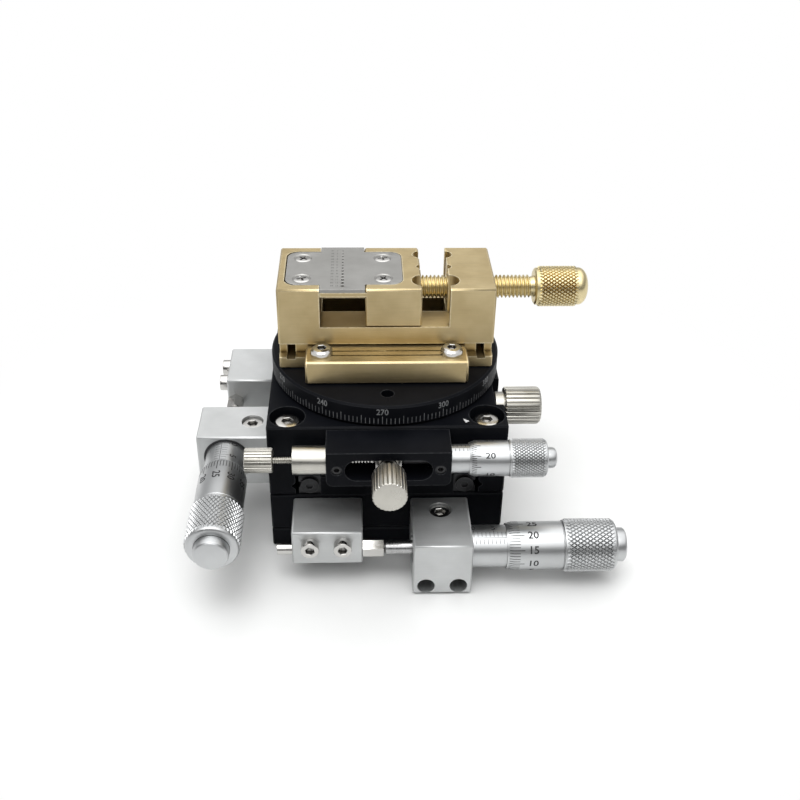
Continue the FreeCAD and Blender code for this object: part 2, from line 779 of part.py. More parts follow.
def roller_cages(label, drive):
    """Two cage strips, each with crossed rollers tilted 45 degrees one way and then the other."""
    cages = []
    half_count = int(value("(cage_length / roller_pitch - 1) / 2"))
    for side in SIGNS:
        strip = doc.addObject("Part::Box", label + "_strip")
        bind(strip, "Length", "cage_length")
        bind(strip, "Width", "cage_thickness")
        bind(strip, "Height", "cage_height")
        bind(strip, "Placement.Base.x", "-cage_length / 2")
        bind(strip, "Placement.Base.y", f"{side} * way_spread - cage_thickness / 2")
        bind(strip, "Placement.Base.z", f"{ROLLER_LEVEL} - cage_height / 2")
        members = [strip]
        for index in range(-half_count, half_count + 1):
            tilt = 1 if index % 2 else -1
            roller = doc.addObject("Part::Cylinder", label + "_roller")
            bind(roller, "Radius", "roller_diameter / 2")
            bind(roller, "Height", "roller_length")
            roller.Placement.Rotation = FreeCAD.Rotation(FreeCAD.Vector(1, 0, 0), -45 * tilt)
            bind(roller, "Placement.Base.x", f"{index} * roller_pitch")
            bind(roller, "Placement.Base.y", f"{side} * way_spread - {tilt} * roller_length * sqrt(0.5) / 2")
            bind(roller, "Placement.Base.z", f"{ROLLER_LEVEL} - roller_length * sqrt(0.5) / 2")
            members.append(roller)
        cage = doc.addObject("Part::MultiFuse", label + "_cage")
        cage.Shapes = members
        if drive == "y":
            lift_to_upper(cage, shifted=False)
        cages.append(cage)
    return group(label, cages)


# ---------------------------------------------------------------- micrometer drive of a slide

def head_bracket(prefix, drive):
    body = new_body(prefix + "_head_bracket")
    back = HALF_SIDE + " * -1"
    front = f"{back} - head_bracket_reach"
    relieved = f"{back} - bracket_relief"
    extrude(body, "XY", [rectangle("head_bracket_start", HEAD_END, front, back)],
            "head_bracket_lift", HEAD_TOP)
    break_edges(body)
    relief = rectangle(relieved, f"{back} + {OVER}", f"plate_height - {SMALL_GAP}", f"{HEAD_TOP} + {OVER}")
    extrude(body, "YZ", [relief], f"head_bracket_start - {OVER}", f"{HEAD_END} + {OVER}", cut=True)
    bore = (HEAD_AXIS_Y, HEAD_AXIS_Z, "stem_radius + screw_fit")
    slit = rectangle(HEAD_AXIS_Y, f"{back} + {OVER}",
                     f"{HEAD_AXIS_Z} - clamp_slit_height / 2", f"{HEAD_AXIS_Z} + clamp_slit_height / 2")
    extrude(body, "YZ", [bore], f"head_bracket_start - {OVER}", f"{HEAD_END} + {OVER}", cut=True)
    extrude(body, "YZ", [slit], f"head_bracket_start - {OVER}", f"{HEAD_END} + {OVER}", cut=True)
    wide = [(x, "mount_screw_height", "mount_counterbore_radius") for x in head_screw_places()]
    extrude(body, "XZ", wide, f"{front} - {OVER}", f"{front} + mount_counterbore_depth", cut=True)
    narrow = [(x, "mount_screw_height", "medium_shank_radius + screw_fit") for x in head_screw_places()]
    extrude(body, "XZ", narrow, f"{front} - {OVER}", f"{back} + {OVER}", cut=True)
    clamp_y = f"{back} - clamp_screw_reach"
    seat = f"{HEAD_TOP} - clamp_counterbore_depth"
    extrude(body, "XY", [(HEAD_MIDDLE, clamp_y, "clamp_counterbore_radius")],
            seat, f"{HEAD_TOP} + {OVER}", cut=True)
    extrude(body, "XY", [(HEAD_MIDDLE, clamp_y, "medium_shank_radius + screw_fit")],
            f"{seat} - clamp_screw_length - {SMALL_GAP}", f"{HEAD_TOP} + {OVER}", cut=True)
    if drive == "y":
        lift_to_upper(body)
    return finish(body)


def head_screws(prefix, drive):
    back = HALF_SIDE + " * -1"
    seat = f"{back} - head_bracket_reach + mount_counterbore_depth"
    length = f"{back} - ({seat}) + mount_screw_depth"
    screws = []
    for x in head_screw_places():
        screw = cap_screw(prefix + "_head_screw", "medium_shank_radius", length,
                          "medium_head_radius", "medium_head_height", "medium_shank_radius * 0.95")
        place(screw, x, seat, "mount_screw_height", "-Y", drive)
        screws.append(screw)
    group(prefix + "_head_screws", screws)
    head = "clamp_counterbore_radius - clamp_head_fit"
    clamp = cap_screw(prefix + "_head_clamp_screw", "medium_shank_radius", "clamp_screw_length",
                      head, "medium_head_height", "medium_shank_radius * 0.95")
    place(clamp, HEAD_MIDDLE, f"{back} - clamp_screw_reach",
          f"{HEAD_TOP} - clamp_counterbore_depth", "+Z", drive)
    return finish(clamp)


def head_sleeve(prefix, drive):
    """Fixed stem and sleeve of a micrometer, bored for the spindle."""
    body = new_body(prefix + "_head_sleeve")
    bore = "spindle_radius + spindle_fit"
    stem = "head_bracket_width - stem_inset"
    inside = f"{prefix}_sleeve_showing + thimble_length + grip_length - thimble_end_thickness"
    length = f"({inside}) - slide_travel - sleeve_end_gap"
    revolve(body, [
        (bore, minus(stem)), ("stem_radius", minus(stem)), ("stem_radius", "0"), ("sleeve_radius", "0"),
        ("sleeve_radius", length), (bore, length),
    ])
    place(body, HEAD_END, HEAD_AXIS_Y, HEAD_AXIS_Z, "+X", drive)
    return finish(body)


def head_thimble(prefix, drive):
    """Thimble, knurled grip and cap, hollow over the sleeve; height 0 is its bevelled edge."""
    body = new_body(prefix + "_thimble")
    bore = "sleeve_radius + thimble_fit"
    grip_end = "thimble_length + grip_length"
    inside = f"{grip_end} - thimble_end_thickness"
    cap_top = f"{grip_end} + thimble_cap_length"
    revolve(body, [
        (bore, "0"), (f"{bore} + thimble_edge", "0"), ("thimble_radius", "thimble_bevel"),
        ("thimble_radius", "thimble_length"), ("grip_radius", "thimble_length + grip_start_bevel"),
        ("grip_radius", f"{grip_end} - grip_end_bevel"), ("grip_radius - grip_end_bevel", grip_end),
        ("thimble_cap_radius", grip_end),
        ("thimble_cap_radius", cap_top), ("0", cap_top), ("0", inside), (bore, inside),
    ])
    dress(body, "Fillet", "Radius", "thimble_cap_round", rim_at(cap_top, "thimble_cap_radius"))
    place(body, f"{HEAD_END} + {prefix}_sleeve_showing", HEAD_AXIS_Y, HEAD_AXIS_Z, "+X", drive)
    return finish(body)


def head_spindle(prefix, drive):
    tip = "anvil_bracket_end + anvil_hex_length + tip_gap"
    root = f"{HEAD_END} + {prefix}_sleeve_showing + thimble_length + grip_length - thimble_end_thickness"
    length = f"({root}) - ({tip})"
    body = new_body(prefix + "_spindle")
    revolve(body, [
        ("0", "0"), ("spindle_radius * 0.7", "0"), ("spindle_radius", "spindle_point"),
        ("spindle_radius", length), ("0", length),
    ])
    place(body, tip, HEAD_AXIS_Y, HEAD_AXIS_Z, "+X", drive)
    return finish(body)


def anvil_bracket(prefix, drive):
    body = new_body(prefix + "_anvil_bracket")
    back = HALF_SIDE + " * -1"
    front = f"{back} - anvil_bracket_reach"
    top = f"{ANVIL_FOOT} + anvil_bracket_height"
    extrude(body, "XY", [rectangle(ANVIL_START, "anvil_bracket_end", front, back)], ANVIL_FOOT, top)
    break_edges(body)
    holes = [(x, ANVIL_SCREW_Z, "small_shank_radius + screw_fit") for x in anvil_screw_places()]
    extrude(body, "XZ", holes, f"{front} - {OVER}", f"{back} + {OVER}", cut=True)
    stub = (HEAD_AXIS_Y, HEAD_AXIS_Z, "anvil_stub_radius + screw_fit")
    depth = f"(anvil_stub_length + {SMALL_GAP})"
    extrude(body, "YZ", [stub], f"anvil_bracket_end - {depth}", f"anvil_bracket_end + {OVER}", cut=True)
    extrude(body, "YZ", [stub], f"{ANVIL_START} - {OVER}", f"{ANVIL_START} + {depth}", cut=True)
    if drive == "y":
        lift_to_upper(body)
    return finish(body)


def anvil_parts(prefix, drive):
    """Hexagonal anvil that the spindle bears on, the plug at the far end, and the screws."""
    anvil = new_body(prefix + "_anvil")
    extrude(anvil, "XY", [("0", "0", "anvil_stub_radius")], "-anvil_stub_length", "0")
    prism = anvil.newObject("PartDesign::AdditivePrism", prefix + "_anvil_hex")
    prism.AttachmentSupport = [(origin_part(anvil, "XY_Plane"), "")]
    prism.MapMode = "FlatFace"
    prism.Polygon = 6
    bind(prism, "Circumradius", "anvil_hex_radius")
    bind(prism, "Height", "anvil_hex_length")
    anvil.Tip = prism
    place(anvil, "anvil_bracket_end", HEAD_AXIS_Y, HEAD_AXIS_Z, "+X", drive)
    finish(anvil)
    plug = new_body(prefix + "_anvil_plug")
    extrude(plug, "XY", [("0", "0", "anvil_stub_radius")], "-anvil_stub_length", "anvil_plug_length")
    place(plug, ANVIL_START, HEAD_AXIS_Y, HEAD_AXIS_Z, "-X", drive)
    finish(plug)
    front = f"{HALF_SIDE} * -1 - anvil_bracket_reach"
    screws = []
    for x in anvil_screw_places():
        screw = cap_screw(prefix + "_anvil_screw", "small_shank_radius",
                          "anvil_bracket_reach + anvil_screw_depth", "small_head_radius",
                          "small_head_height", "small_shank_radius", rounding="small_head_round")
        place(screw, x, front, ANVIL_SCREW_Z, "-Y", drive)
        screws.append(screw)
    return group(prefix + "_anvil_screws", screws)


def slide_drive(prefix):
    head_bracket(prefix, prefix)
    head_screws(prefix, prefix)
    head_sleeve(prefix, prefix)
    head_thimble(prefix, prefix)
    head_spindle(prefix, prefix)
    anvil_bracket(prefix, prefix)
    anvil_parts(prefix, prefix)


# ---------------------------------------------------------------- rotary base and fine drive

def rotary_base():
    body = new_body("rotary_base")
    half = HALF_SIDE
    extrude(body, "XY", [rectangle(minus(half), half, minus(half), half)], Y_TOP, ROTARY_TOP)
    break_edges(body)
    extrude(body, "XY", [("0", "0", BORE_RADIUS)], RING_LEDGE, f"{ROTARY_TOP} + {OVER}", cut=True)
    extrude(body, "XY", [("0", "0", f"{BEARING_OUTER} + screw_fit")],
            f"{Y_TOP} - {OVER}", f"{RING_LEDGE} + 1", cut=True)
    places = each_corner(CORNER_SPACING, CORNER_SPACING)
    wide = [(x, y, "corner_counterbore_radius") for x, y in places]
    extrude(body, "XY", wide, f"{ROTARY_TOP} - corner_counterbore_depth", f"{ROTARY_TOP} + {OVER}", cut=True)
    narrow = [(x, y, "corner_shank_radius + screw_fit") for x, y in places]
    extrude(body, "XY", narrow, f"{Y_TOP} - {OVER}", f"{ROTARY_TOP} + {OVER}", cut=True)
    notch = rectangle(f"{half} - notch_depth", f"{half} + {OVER}",
                      f"{LOCK_Y} - notch_front", f"{LOCK_Y} + notch_back")
    extrude(body, "XY", [notch], f"{Y_TOP} - {OVER}", f"{ROTARY_TOP} + {OVER}", cut=True)
    shank = (LOCK_Y, LOCK_Z, "medium_shank_radius + screw_fit")
    extrude(body, "YZ", [shank], "0", f"{half} + {OVER}", cut=True)
    shoe = (LOCK_Y, LOCK_Z, "shoe_radius + screw_fit")
    extrude(body, "YZ", [shoe], "0", f"{LOCK_TIP} + {SMALL_GAP}", cut=True)
    window = rectangle("-arm_window_half", "arm_window_half", RING_LEDGE, f"{ARM_TOP} + arm_rise")
    extrude(body, "XZ", [window], f"-{half} - {OVER}", "-hub_radius + 2", cut=True)
    holes = [(f"{i} * {FINE_SCREW_X}", FINE_Z, "fine_screw_shank_radius + screw_fit") for i in SIGNS]
    extrude(body, "XZ", holes, f"-{half} - {OVER}",
            f"-{half} + fine_screw_length - fine_back_wall + {SMALL_GAP}", cut=True)
    return finish(body)


def corner_screws():
    screws = []
    for x, y in each_corner(CORNER_SPACING, CORNER_SPACING):
        screw = cap_screw("corner_screw", "corner_shank_radius", "corner_screw_length", "corner_head_radius",
                          "corner_head_height", "corner_shank_radius * 0.72", rounding="corner_head_round")
        place(screw, x, y, f"{ROTARY_TOP} - corner_counterbore_depth")
        screws.append(screw)
    return group("corner_screws", screws)


def table_bearing():
    body = new_body("table_bearing")
    inner = "journal_radius + running_fit"
    low = f"{Y_TOP} + bearing_lift"
    high = f"{Y_TOP} + bearing_lift + bearing_height"
    revolve(body, [(inner, low), (BEARING_OUTER, low), (BEARING_OUTER, high), (inner, high)])
    return finish(body)


def fine_block():
    """Housing of the tangent-arm drive with its long slot open to the front."""
    body = new_body("fine_block")
    half = "fine_block_width / 2"
    low = f"{Y_TOP} - fine_block_drop"
    high = f"{low} + fine_block_height"
    extrude(body, "XZ", [rectangle(minus(half), half, low, high)], FINE_FRONT, FINE_BACK)

    def along_y_at_foot(edge):
        box = edge.BoundBox
        sideways = abs(abs(box.XMin) - value(half)) < 1e-3
        return box.YLength > 1 and sideways and abs(box.ZMax - value(low)) < 1e-3

    dress(body, "Fillet", "Radius", "fine_block_round", along_y_at_foot)
    reach = "((fine_block_width - fine_slot_height) / 2 - fine_slot_margin)"
    slot_low = f"{FINE_Z} - fine_slot_height / 2"
    slot_high = f"{FINE_Z} + fine_slot_height / 2"
    behind = f"{FINE_BACK} - fine_back_wall"
    extrude(body, "XZ", [rectangle(minus(reach), reach, slot_low, slot_high)],
            f"{FINE_FRONT} - {OVER}", behind, cut=True)
    for side in SIGNS:
        round_end = [(f"{side} * {reach}", FINE_Z, "fine_slot_height / 2")]
        extrude(body, "XZ", round_end, f"{FINE_FRONT} - {OVER}", behind, cut=True)
    window = rectangle("-arm_window_half", "arm_window_half", RING_LEDGE, f"{ARM_TOP} + arm_rise")
    extrude(body, "XZ", [window], f"{behind} - 1", f"{FINE_BACK} + {OVER}", cut=True)
    bore = [(FINE_Y, FINE_Z, "nose_radius + screw_fit")]
    extrude(body, "YZ", bore, f"-{half} - {OVER}", f"{half} + {OVER}", cut=True)
    holes = [(f"{i} * {FINE_SCREW_X}", FINE_Z, "fine_screw_shank_radius + screw_fit") for i in SIGNS]
    extrude(body, "XZ", holes, f"{behind} - 1", f"{FINE_BACK} + {OVER}", cut=True)
    grubs = [(f"{i} * {GRUB_X}", FINE_Z, "grub_radius + screw_fit") for i in SIGNS]
    extrude(body, "XZ", grubs, f"{FINE_FRONT} - {OVER}", FINE_Y, cut=True)
    return finish(body)


def fine_block_screws():
    screws = []
    grubs = []
    for i in SIGNS:
        screw = cap_screw("fine_block_screw", "fine_screw_shank_radius", "fine_screw_length",
                          "fine_screw_head_radius", "fine_screw_head_height",
                          "fine_screw_shank_radius * 0.8")
        place(screw, f"{i} * {FINE_SCREW_X}", f"{FINE_BACK} - fine_back_wall", FINE_Z, "-Y")
        screws.append(screw)
        grub = new_body("fine_grub_screw")
        length = f"({FINE_Y} - nose_radius - screw_fit) - ({FINE_FRONT} + grub_recess)"
        extrude(grub, "XY", [("0", "0", "grub_radius")], minus(length), "0")
        hex_socket(grub, "grub_radius * 0.6", f"({length}) * 0.5", "0")
        place(grub, f"{i} * {GRUB_X}", f"{FINE_FRONT} + grub_recess", FINE_Z, "-Y")
        grubs.append(grub)
    group("fine_block_screws", screws)
    return group("fine_grub_screws", grubs)


def fine_arm():
    """Clamp ring round the table's journal with the tangent arm and its upright head."""
    body = new_body("fine_arm")
    extrude(body, "XY", [("0", "0", "hub_radius")], ARM_FOOT, ARM_TOP)
    half = "arm_width / 2"
    bar = rectangle(minus(half), half, ARM_END, f"-hub_radius + {OVER}")
    extrude(body, "XY", [bar], ARM_FOOT, ARM_TOP)
    head = rectangle(minus(half), half, f"{FINE_Z} - arm_head_height / 2", f"{FINE_Z} + arm_head_height / 2")
    extrude(body, "XZ", [head], ARM_END, f"{FINE_Y} + arm_head_inner")
    bore = ("0", "0", "journal_radius + ring_bore_gap")
    extrude(body, "XY", [bore], f"{ARM_FOOT} - {OVER}", f"{ARM_TOP} + {OVER}", cut=True)
    shank = ("0", FINE_Z, "thumb_shank_radius + screw_fit")
    extrude(body, "XZ", [shank], f"{ARM_END} - {OVER}", "-journal_radius + 1", cut=True)
    return finish(body)


def clamp_screw_and_pad():
    """Knurled thumbscrew through the arm, and the brass pad that it presses on the journal."""
    pad_tip = "(-journal_radius - ring_bore_gap)"
    pad = new_body("clamp_pad")
    extrude(pad, "XY", [("0", "0", "thumb_shank_radius")], "0", "clamp_pad_length")
    place(pad, "0", f"{pad_tip}", FINE_Z, "-Y")
    finish(pad)
    screw = new_body("clamp_thumbscrew")
    tip = f"({pad_tip} - clamp_pad_length)"
    shank = f"({tip} - {ARM_END} + thumb_seat_gap)"
    collar = f"({shank} + thumb_collar_length)"
    end = f"({collar} + thumb_length)"
    revolve(screw, [
        ("0", "0"), ("thumb_shank_radius", "0"), ("thumb_shank_radius", shank),
        ("thumb_collar_radius", shank), ("thumb_collar_radius", collar),
        ("thumb_radius - knob_round", collar),
        ("thumb_radius", f"{collar} + knob_round"), ("thumb_radius", f"{end} - knob_round"),
        ("thumb_radius - knob_round", end), ("0", end),
    ])
    flute(screw, "thumb_radius", f"{collar} - 0.5", f"{end} + 1")
    place(screw, "0", tip, FINE_Z, "-Y")
    return finish(screw)


def theta_head():
    """Small micrometer that pushes the arm: sleeve, spindle and thimble along +X."""
    side = "fine_block_width / 2"
    bore = "theta_spindle_radius + spindle_fit"
    grip_end = "theta_thimble_length + theta_grip_length"
    cap_end = f"{grip_end} + theta_cap_length"
    inside = f"{grip_end} - theta_end_thickness"
    sleeve_end = f"theta_sleeve_showing + {inside} - theta_travel - sleeve_end_gap"
    sleeve = new_body("theta_sleeve")
    revolve(sleeve, [
        (bore, "-nose_length"), ("nose_radius", "-nose_length"), ("nose_radius", "0"),
        ("theta_sleeve_radius", "0"), ("theta_sleeve_radius", sleeve_end), (bore, sleeve_end),
    ])
    place(sleeve, side, FINE_Y, FINE_Z, "+X")
    finish(sleeve)
    thimble = new_body("theta_thimble")
    inner = "theta_sleeve_radius + thimble_fit"
    revolve(thimble, [
        (inner, "0"), (f"{inner} + thimble_edge", "0"), ("theta_thimble_radius", "theta_bevel"),
        ("theta_thimble_radius", "theta_thimble_length"),
        ("theta_grip_radius", "theta_thimble_length + theta_grip_start_bevel"),
        ("theta_grip_radius", f"{grip_end} - theta_grip_end_bevel"),
        ("theta_grip_radius - theta_grip_end_bevel", grip_end),
        ("theta_cap_radius", grip_end), ("theta_cap_radius", cap_end), ("0", cap_end),
        ("0", inside), (inner, inside),
    ])
    dress(thimble, "Fillet", "Radius", "theta_cap_round", rim_at(cap_end, "theta_cap_radius"))
    start = f"{side} + theta_sleeve_showing"
    place(thimble, start, FINE_Y, FINE_Z, "+X")
    finish(thimble)
    spindle = new_body("theta_spindle")
    tip = "arm_width / 2 + theta_tip_gap"
    length = f"{start} + {inside} - ({tip})"
    revolve(spindle, [
        ("0", "0"), ("theta_spindle_radius * 0.7", "0"), ("theta_spindle_radius", "theta_spindle_point"),
        ("theta_spindle_radius", length), ("0", length),
    ])
    place(spindle, tip, FINE_Y, FINE_Z, "+X")
    return finish(spindle)


def spring_plunger():
    """Spring plunger opposite the small micrometer, drawn along -X from the fine block's side."""
    side = "-fine_block_width / 2"
    bore = "plunger_pin_radius + spindle_fit"
    chamber = f"plunger_collar_radius + {SMALL_GAP}"
    chamber_start = "-nose_length + plunger_front_wall"
    chamber_end = "plunger_length - plunger_wall"
    rod_bore = "preload_rod_radius + spindle_fit"
    housing = new_body("plunger_housing")
    revolve(housing, [
        (bore, "-nose_length"), ("nose_radius", "-nose_length"), ("nose_radius", "0"),
        ("plunger_radius", "0"), ("plunger_radius", "plunger_length"), (rod_bore, "plunger_length"),
        (rod_bore, chamber_end), (chamber, chamber_end), (chamber, chamber_start), (bore, chamber_start),
    ])
    place(housing, side, FINE_Y, FINE_Z, "-X")
    finish(housing)
    pin = new_body("plunger_pin")
    back = "plunger_pin_length - plunger_collar_length"
    revolve(pin, [
        ("0", "0"), ("plunger_pin_radius * 0.7", "0"), ("plunger_pin_radius", "theta_spindle_point"),
        ("plunger_pin_radius", back), ("plunger_collar_radius", back),
        ("plunger_collar_radius", "plunger_pin_length"), ("0", "plunger_pin_length"),
    ])
    place(pin, "-arm_width / 2 - theta_tip_gap", FINE_Y, FINE_Z, "-X")
    finish(pin)
    screw = new_body("preload_screw")
    seat_start = f"({chamber_end} - preload_seat_gap - preload_seat_length)"
    seat_end = f"({chamber_end} - preload_seat_gap)"
    knob_start = "(plunger_length + preload_rod_length)"
    knob_end = f"({knob_start} + preload_knob_length)"
    revolve(screw, [
        ("0", seat_start), ("preload_seat_radius", seat_start), ("preload_seat_radius", seat_end),
        ("preload_rod_radius", seat_end), ("preload_rod_radius", knob_start),
        ("preload_knob_radius - knob_round", knob_start),
        ("preload_knob_radius", f"{knob_start} + knob_round"),
        ("preload_knob_radius", f"{knob_end} - knob_round"), ("preload_knob_radius - knob_round", knob_end),
        ("0", knob_end),
    ])
    flute(screw, "preload_knob_radius", f"{knob_start} - 0.5", f"{knob_end} + 1")
    place(screw, side, FINE_Y, FINE_Z, "-X")
    return finish(screw)


def lock_screw_and_shoe():
    """Knurled lock screw in the base's side notch, and the shoe that it presses on the hub."""
    half = HALF_SIDE
    screw = new_body("lock_screw")
    shoulder = f"({half} - notch_depth + {SMALL_GAP} - {LOCK_TIP})"
    knob = f"({half} + lock_knob_gap - {LOCK_TIP})"
    end = f"({knob} + lock_knob_length)"
    revolve(screw, [
        ("0", "0"), ("medium_shank_radius", "0"), ("medium_shank_radius", shoulder),
        ("lock_shoulder_radius", shoulder), ("lock_shoulder_radius", knob),
        ("lock_knob_radius - knob_round", knob), ("lock_knob_radius", f"{knob} + knob_round"),
        ("lock_knob_radius", f"{end} - lock_knob_round"), ("lock_knob_radius - lock_knob_round", end),
        ("0", end),
    ])
    flute(screw, "lock_knob_radius", f"{knob} - 0.5", f"{end} + 1")
    place(screw, LOCK_TIP, LOCK_Y, LOCK_Z, "+X")
    finish(screw)
    shoe = new_body("brake_shoe")
    extrude(shoe, "YZ", [(LOCK_Y, LOCK_Z, "shoe_radius")], "hub_radius / 2", LOCK_TIP)
    hub = ("0", "0", SHOE_SEAT)
    reach = f"(shoe_radius + {OVER})"
    extrude(shoe, "XY", [hub], f"{LOCK_Z} - {reach}", f"{LOCK_Z} + {reach}", cut=True)
    return finish(shoe)


# ---------------------------------------------------------------- rotary table

def clamp_screw_xy():
    setback = "vise_width / 2 + clamp_bar_gap + clamp_screw_setback"
    return [(f"{i} * clamp_screw_spacing / 2", f"{j} * ({setback})") for i in SIGNS for j in SIGNS]


def rotary_table():
    body = new_body("rotary_table")
    revolve(body, [
        ("0", JOURNAL_FOOT), ("journal_radius", JOURNAL_FOOT), ("journal_radius", HUB_FOOT),
        ("hub_radius", HUB_FOOT), ("hub_radius", TABLE_FOOT), (f"{TABLE_RADIUS} - table_bevel", TABLE_FOOT),
        (TABLE_RADIUS, f"{TABLE_FOOT} + table_bevel"), (TABLE_RADIUS, f"{TABLE_TOP} - table_bevel"),
        (f"{TABLE_RADIUS} - table_bevel", TABLE_TOP), ("0", TABLE_TOP),
    ])
    circle = "table_hole_circle"
    tapped = [(circle, "0"), (minus(circle), "0"), ("0", circle), ("0", minus(circle))]
    extrude(body, "XY", [(x, y, "table_hole_radius") for x, y in tapped],
            f"{TABLE_TOP} - table_hole_depth", f"{TABLE_TOP} + {OVER}", cut=True)
    extrude(body, "XY", [(x, y, "medium_shank_radius + screw_fit") for x, y in clamp_screw_xy()],
            f"{TABLE_TOP} - button_screw_depth - {SMALL_GAP}", f"{TABLE_TOP} + {OVER}", cut=True)
    return finish(body)


def table_retainer():
    body = new_body("table_retainer")
    extrude(body, "XY", [("0", "0", RETAINER_RADIUS)], f"{JOURNAL_FOOT} - retainer_thickness", JOURNAL_FOOT)
    return finish(body)


# ---------------------------------------------------------------- vise

def jaw_notches(body, face, setback_sign):
    """Half-round upright notches of three sizes in a jaw face."""
    for size in ("front", "middle", "back"):
        centre = f"{face} + {setback_sign} * notch_setback * notch_{size}_radius / notch_front_radius"
        disc = (centre, f"notch_{size}_place", f"notch_{size}_radius")
        extrude(body, "XY", [disc], VISE_BED, f"{VISE_TOP} + {OVER}", cut=True)


def vise_body():
    body = new_body("vise_body")
    half = "vise_width / 2"
    end = VISE_END
    extrude(body, "XY", [rectangle(minus(end), end, minus(half), half)], TABLE_TOP, VISE_BED)
    extrude(body, "XY", [rectangle(minus(end), REAR_FACE, minus(half), half)], VISE_BED, VISE_TOP)
    extrude(body, "XY", [rectangle(FIXED_JAW_FACE, end, minus(half), half)], VISE_BED, VISE_TOP)
    break_edges(body)
    groove_top = f"{VISE_LEDGE} + groove_height"
    for side in SIGNS:
        groove = rectangle(f"{side} * ({half} - groove_depth)", f"{side} * ({half} + {OVER})",
                           VISE_LEDGE, groove_top)
        extrude(body, "YZ", [groove], f"-{end} - {OVER}", f"{end} + {OVER}", cut=True)
    span = (f"{REAR_FACE} + keeper_pocket_end_gap", f"{FIXED_JAW_FACE} - keeper_pocket_end_gap")
    slot = rectangle("-bed_slot_width / 2", "bed_slot_width / 2", SLOT_FLOOR, f"{VISE_BED} + 0.5")
    extrude(body, "YZ", [slot], *span, cut=True)
    pocket = rectangle("-keeper_pocket_width / 2", "keeper_pocket_width / 2",
                       f"{TABLE_TOP} - {OVER}", SLOT_FLOOR)
    extrude(body, "YZ", [pocket], *span, cut=True)
    recess_half = "(tail_width / 2 + tail_gap)"
    recess_start = f"({TAIL_START} - tail_gap)"
    recess = rectangle(recess_start, f"{REAR_FACE} + {OVER}", minus(recess_half), recess_half)
    extrude(body, "XY", [recess], f"{BRIDGE_FOOT} - tail_gap", f"{VISE_TOP} + {OVER}", cut=True)
    corners = [(recess_start, minus(recess_half)), (recess_start, recess_half)]
    dress(body, "Fillet", "Radius", "plate_round", upright_at(corners))
    extrude(body, "YZ", [("0", SCREW_Z, "screw_radius + running_fit")],
            f"{FIXED_JAW_FACE} - {OVER}", f"{end} + {OVER}", cut=True)
    jaw_notches(body, FIXED_JAW_FACE, "-1")
    slot_half = "side_slot_width / 2"
    for place_x in (f"(-{end} + side_slot_inset)", f"({end} - side_slot_inset)"):
        for side in SIGNS:
            slot = rectangle(f"{place_x} - {slot_half}", f"{place_x} + {slot_half}",
                             f"{side} * ({half} + {OVER})", f"{side} * ({half} - side_slot_depth)")
            extrude(body, "XY", [slot], f"{VISE_LEDGE} - side_slot_drop", groove_top, cut=True)
    return finish(body)


def moving_jaw():
    """Sliding jaw: block, thin bridge under the gauge plate, tail and guide tenon."""
    body = new_body("moving_jaw")
    half = "vise_width / 2"
    extrude(body, "XY", [rectangle(JAW_BACK, JAW_FACE, minus(half), half)], JAW_FOOT, VISE_TOP)
    break_edges(body)
    bridge = rectangle(BRIDGE_START, f"{JAW_BACK} + 0.6", minus(half), half)
    extrude(body, "XY", [bridge], BRIDGE_FOOT, PLATE_FOOT)
    tail = rectangle(TAIL_START, f"{BRIDGE_START} + 0.6", "-tail_width / 2", "tail_width / 2")
    extrude(body, "XY", [tail], BRIDGE_FOOT, PLATE_FOOT)
    corners = [(TAIL_START, "-tail_width / 2"), (TAIL_START, "tail_width / 2")]
    dress(body, "Fillet", "Radius", "plate_round", upright_at(corners))
    recess_half = "(tail_width / 2 + plate_fit)"
    recess_end = f"({PLATE_END} + plate_fit)"
    recess = rectangle(f"{JAW_BACK} - {OVER}", recess_end, minus(recess_half), recess_half)
    extrude(body, "XY", [recess], PLATE_FOOT, f"{VISE_TOP} + {OVER}", cut=True)
    corners = [(recess_end, minus(recess_half)), (recess_end, recess_half)]
    dress(body, "Fillet", "Radius", "plate_round", upright_at(corners))
    tenon = rectangle(f"{JAW_BACK} + tenon_setback", f"{JAW_FACE} - tenon_setback",
                      "-tenon_width / 2", "tenon_width / 2")
    extrude(body, "XY", [tenon], KEEPER_TOP, f"{JAW_FOOT} + {OVER} / 4")
    extrude(body, "YZ", [("0", SCREW_Z, "screw_radius + running_fit")],
            f"{JAW_FACE} - screw_bore_depth", f"{JAW_FACE} + {OVER}", cut=True)
    jaw_notches(body, JAW_FACE, "1")
    pins = [(x, y, "jaw_pin_radius + screw_fit") for x, y in jaw_pin_xy()]
    pin_top = f"{JAW_FOOT} + {JAW_PIN_LENGTH} + {SMALL_GAP}"
    extrude(body, "XY", pins, f"{JAW_FOOT} - {OVER}", pin_top, cut=True)
    shank = "plate_screw_shank_radius + screw_fit"
    holes = [(x, y, shank) for x, y in plate_screw_xy()]
    extrude(body, "XY", holes, f"{BRIDGE_FOOT} - 0.1", f"{VISE_TOP} + {OVER}", cut=True)
    return finish(body)


def plate_screw_xy():
    left = f"({TAIL_START} + plate_screw_tail_inset)"
    right = f"({PLATE_END} - plate_screw_jaw_inset)"
    out = "(tail_width / 2 - plate_screw_side_inset)"
    return [(x, y) for x in (left, right) for y in (minus(out), out)]


def jaw_pin_xy():
    neck = f"{SCREW_TIP} + screw_button_length + screw_neck_length / 2"
    offset = "(screw_neck_radius + jaw_pin_radius + 0.1)"
    return [(neck, offset), (neck, minus(offset))]


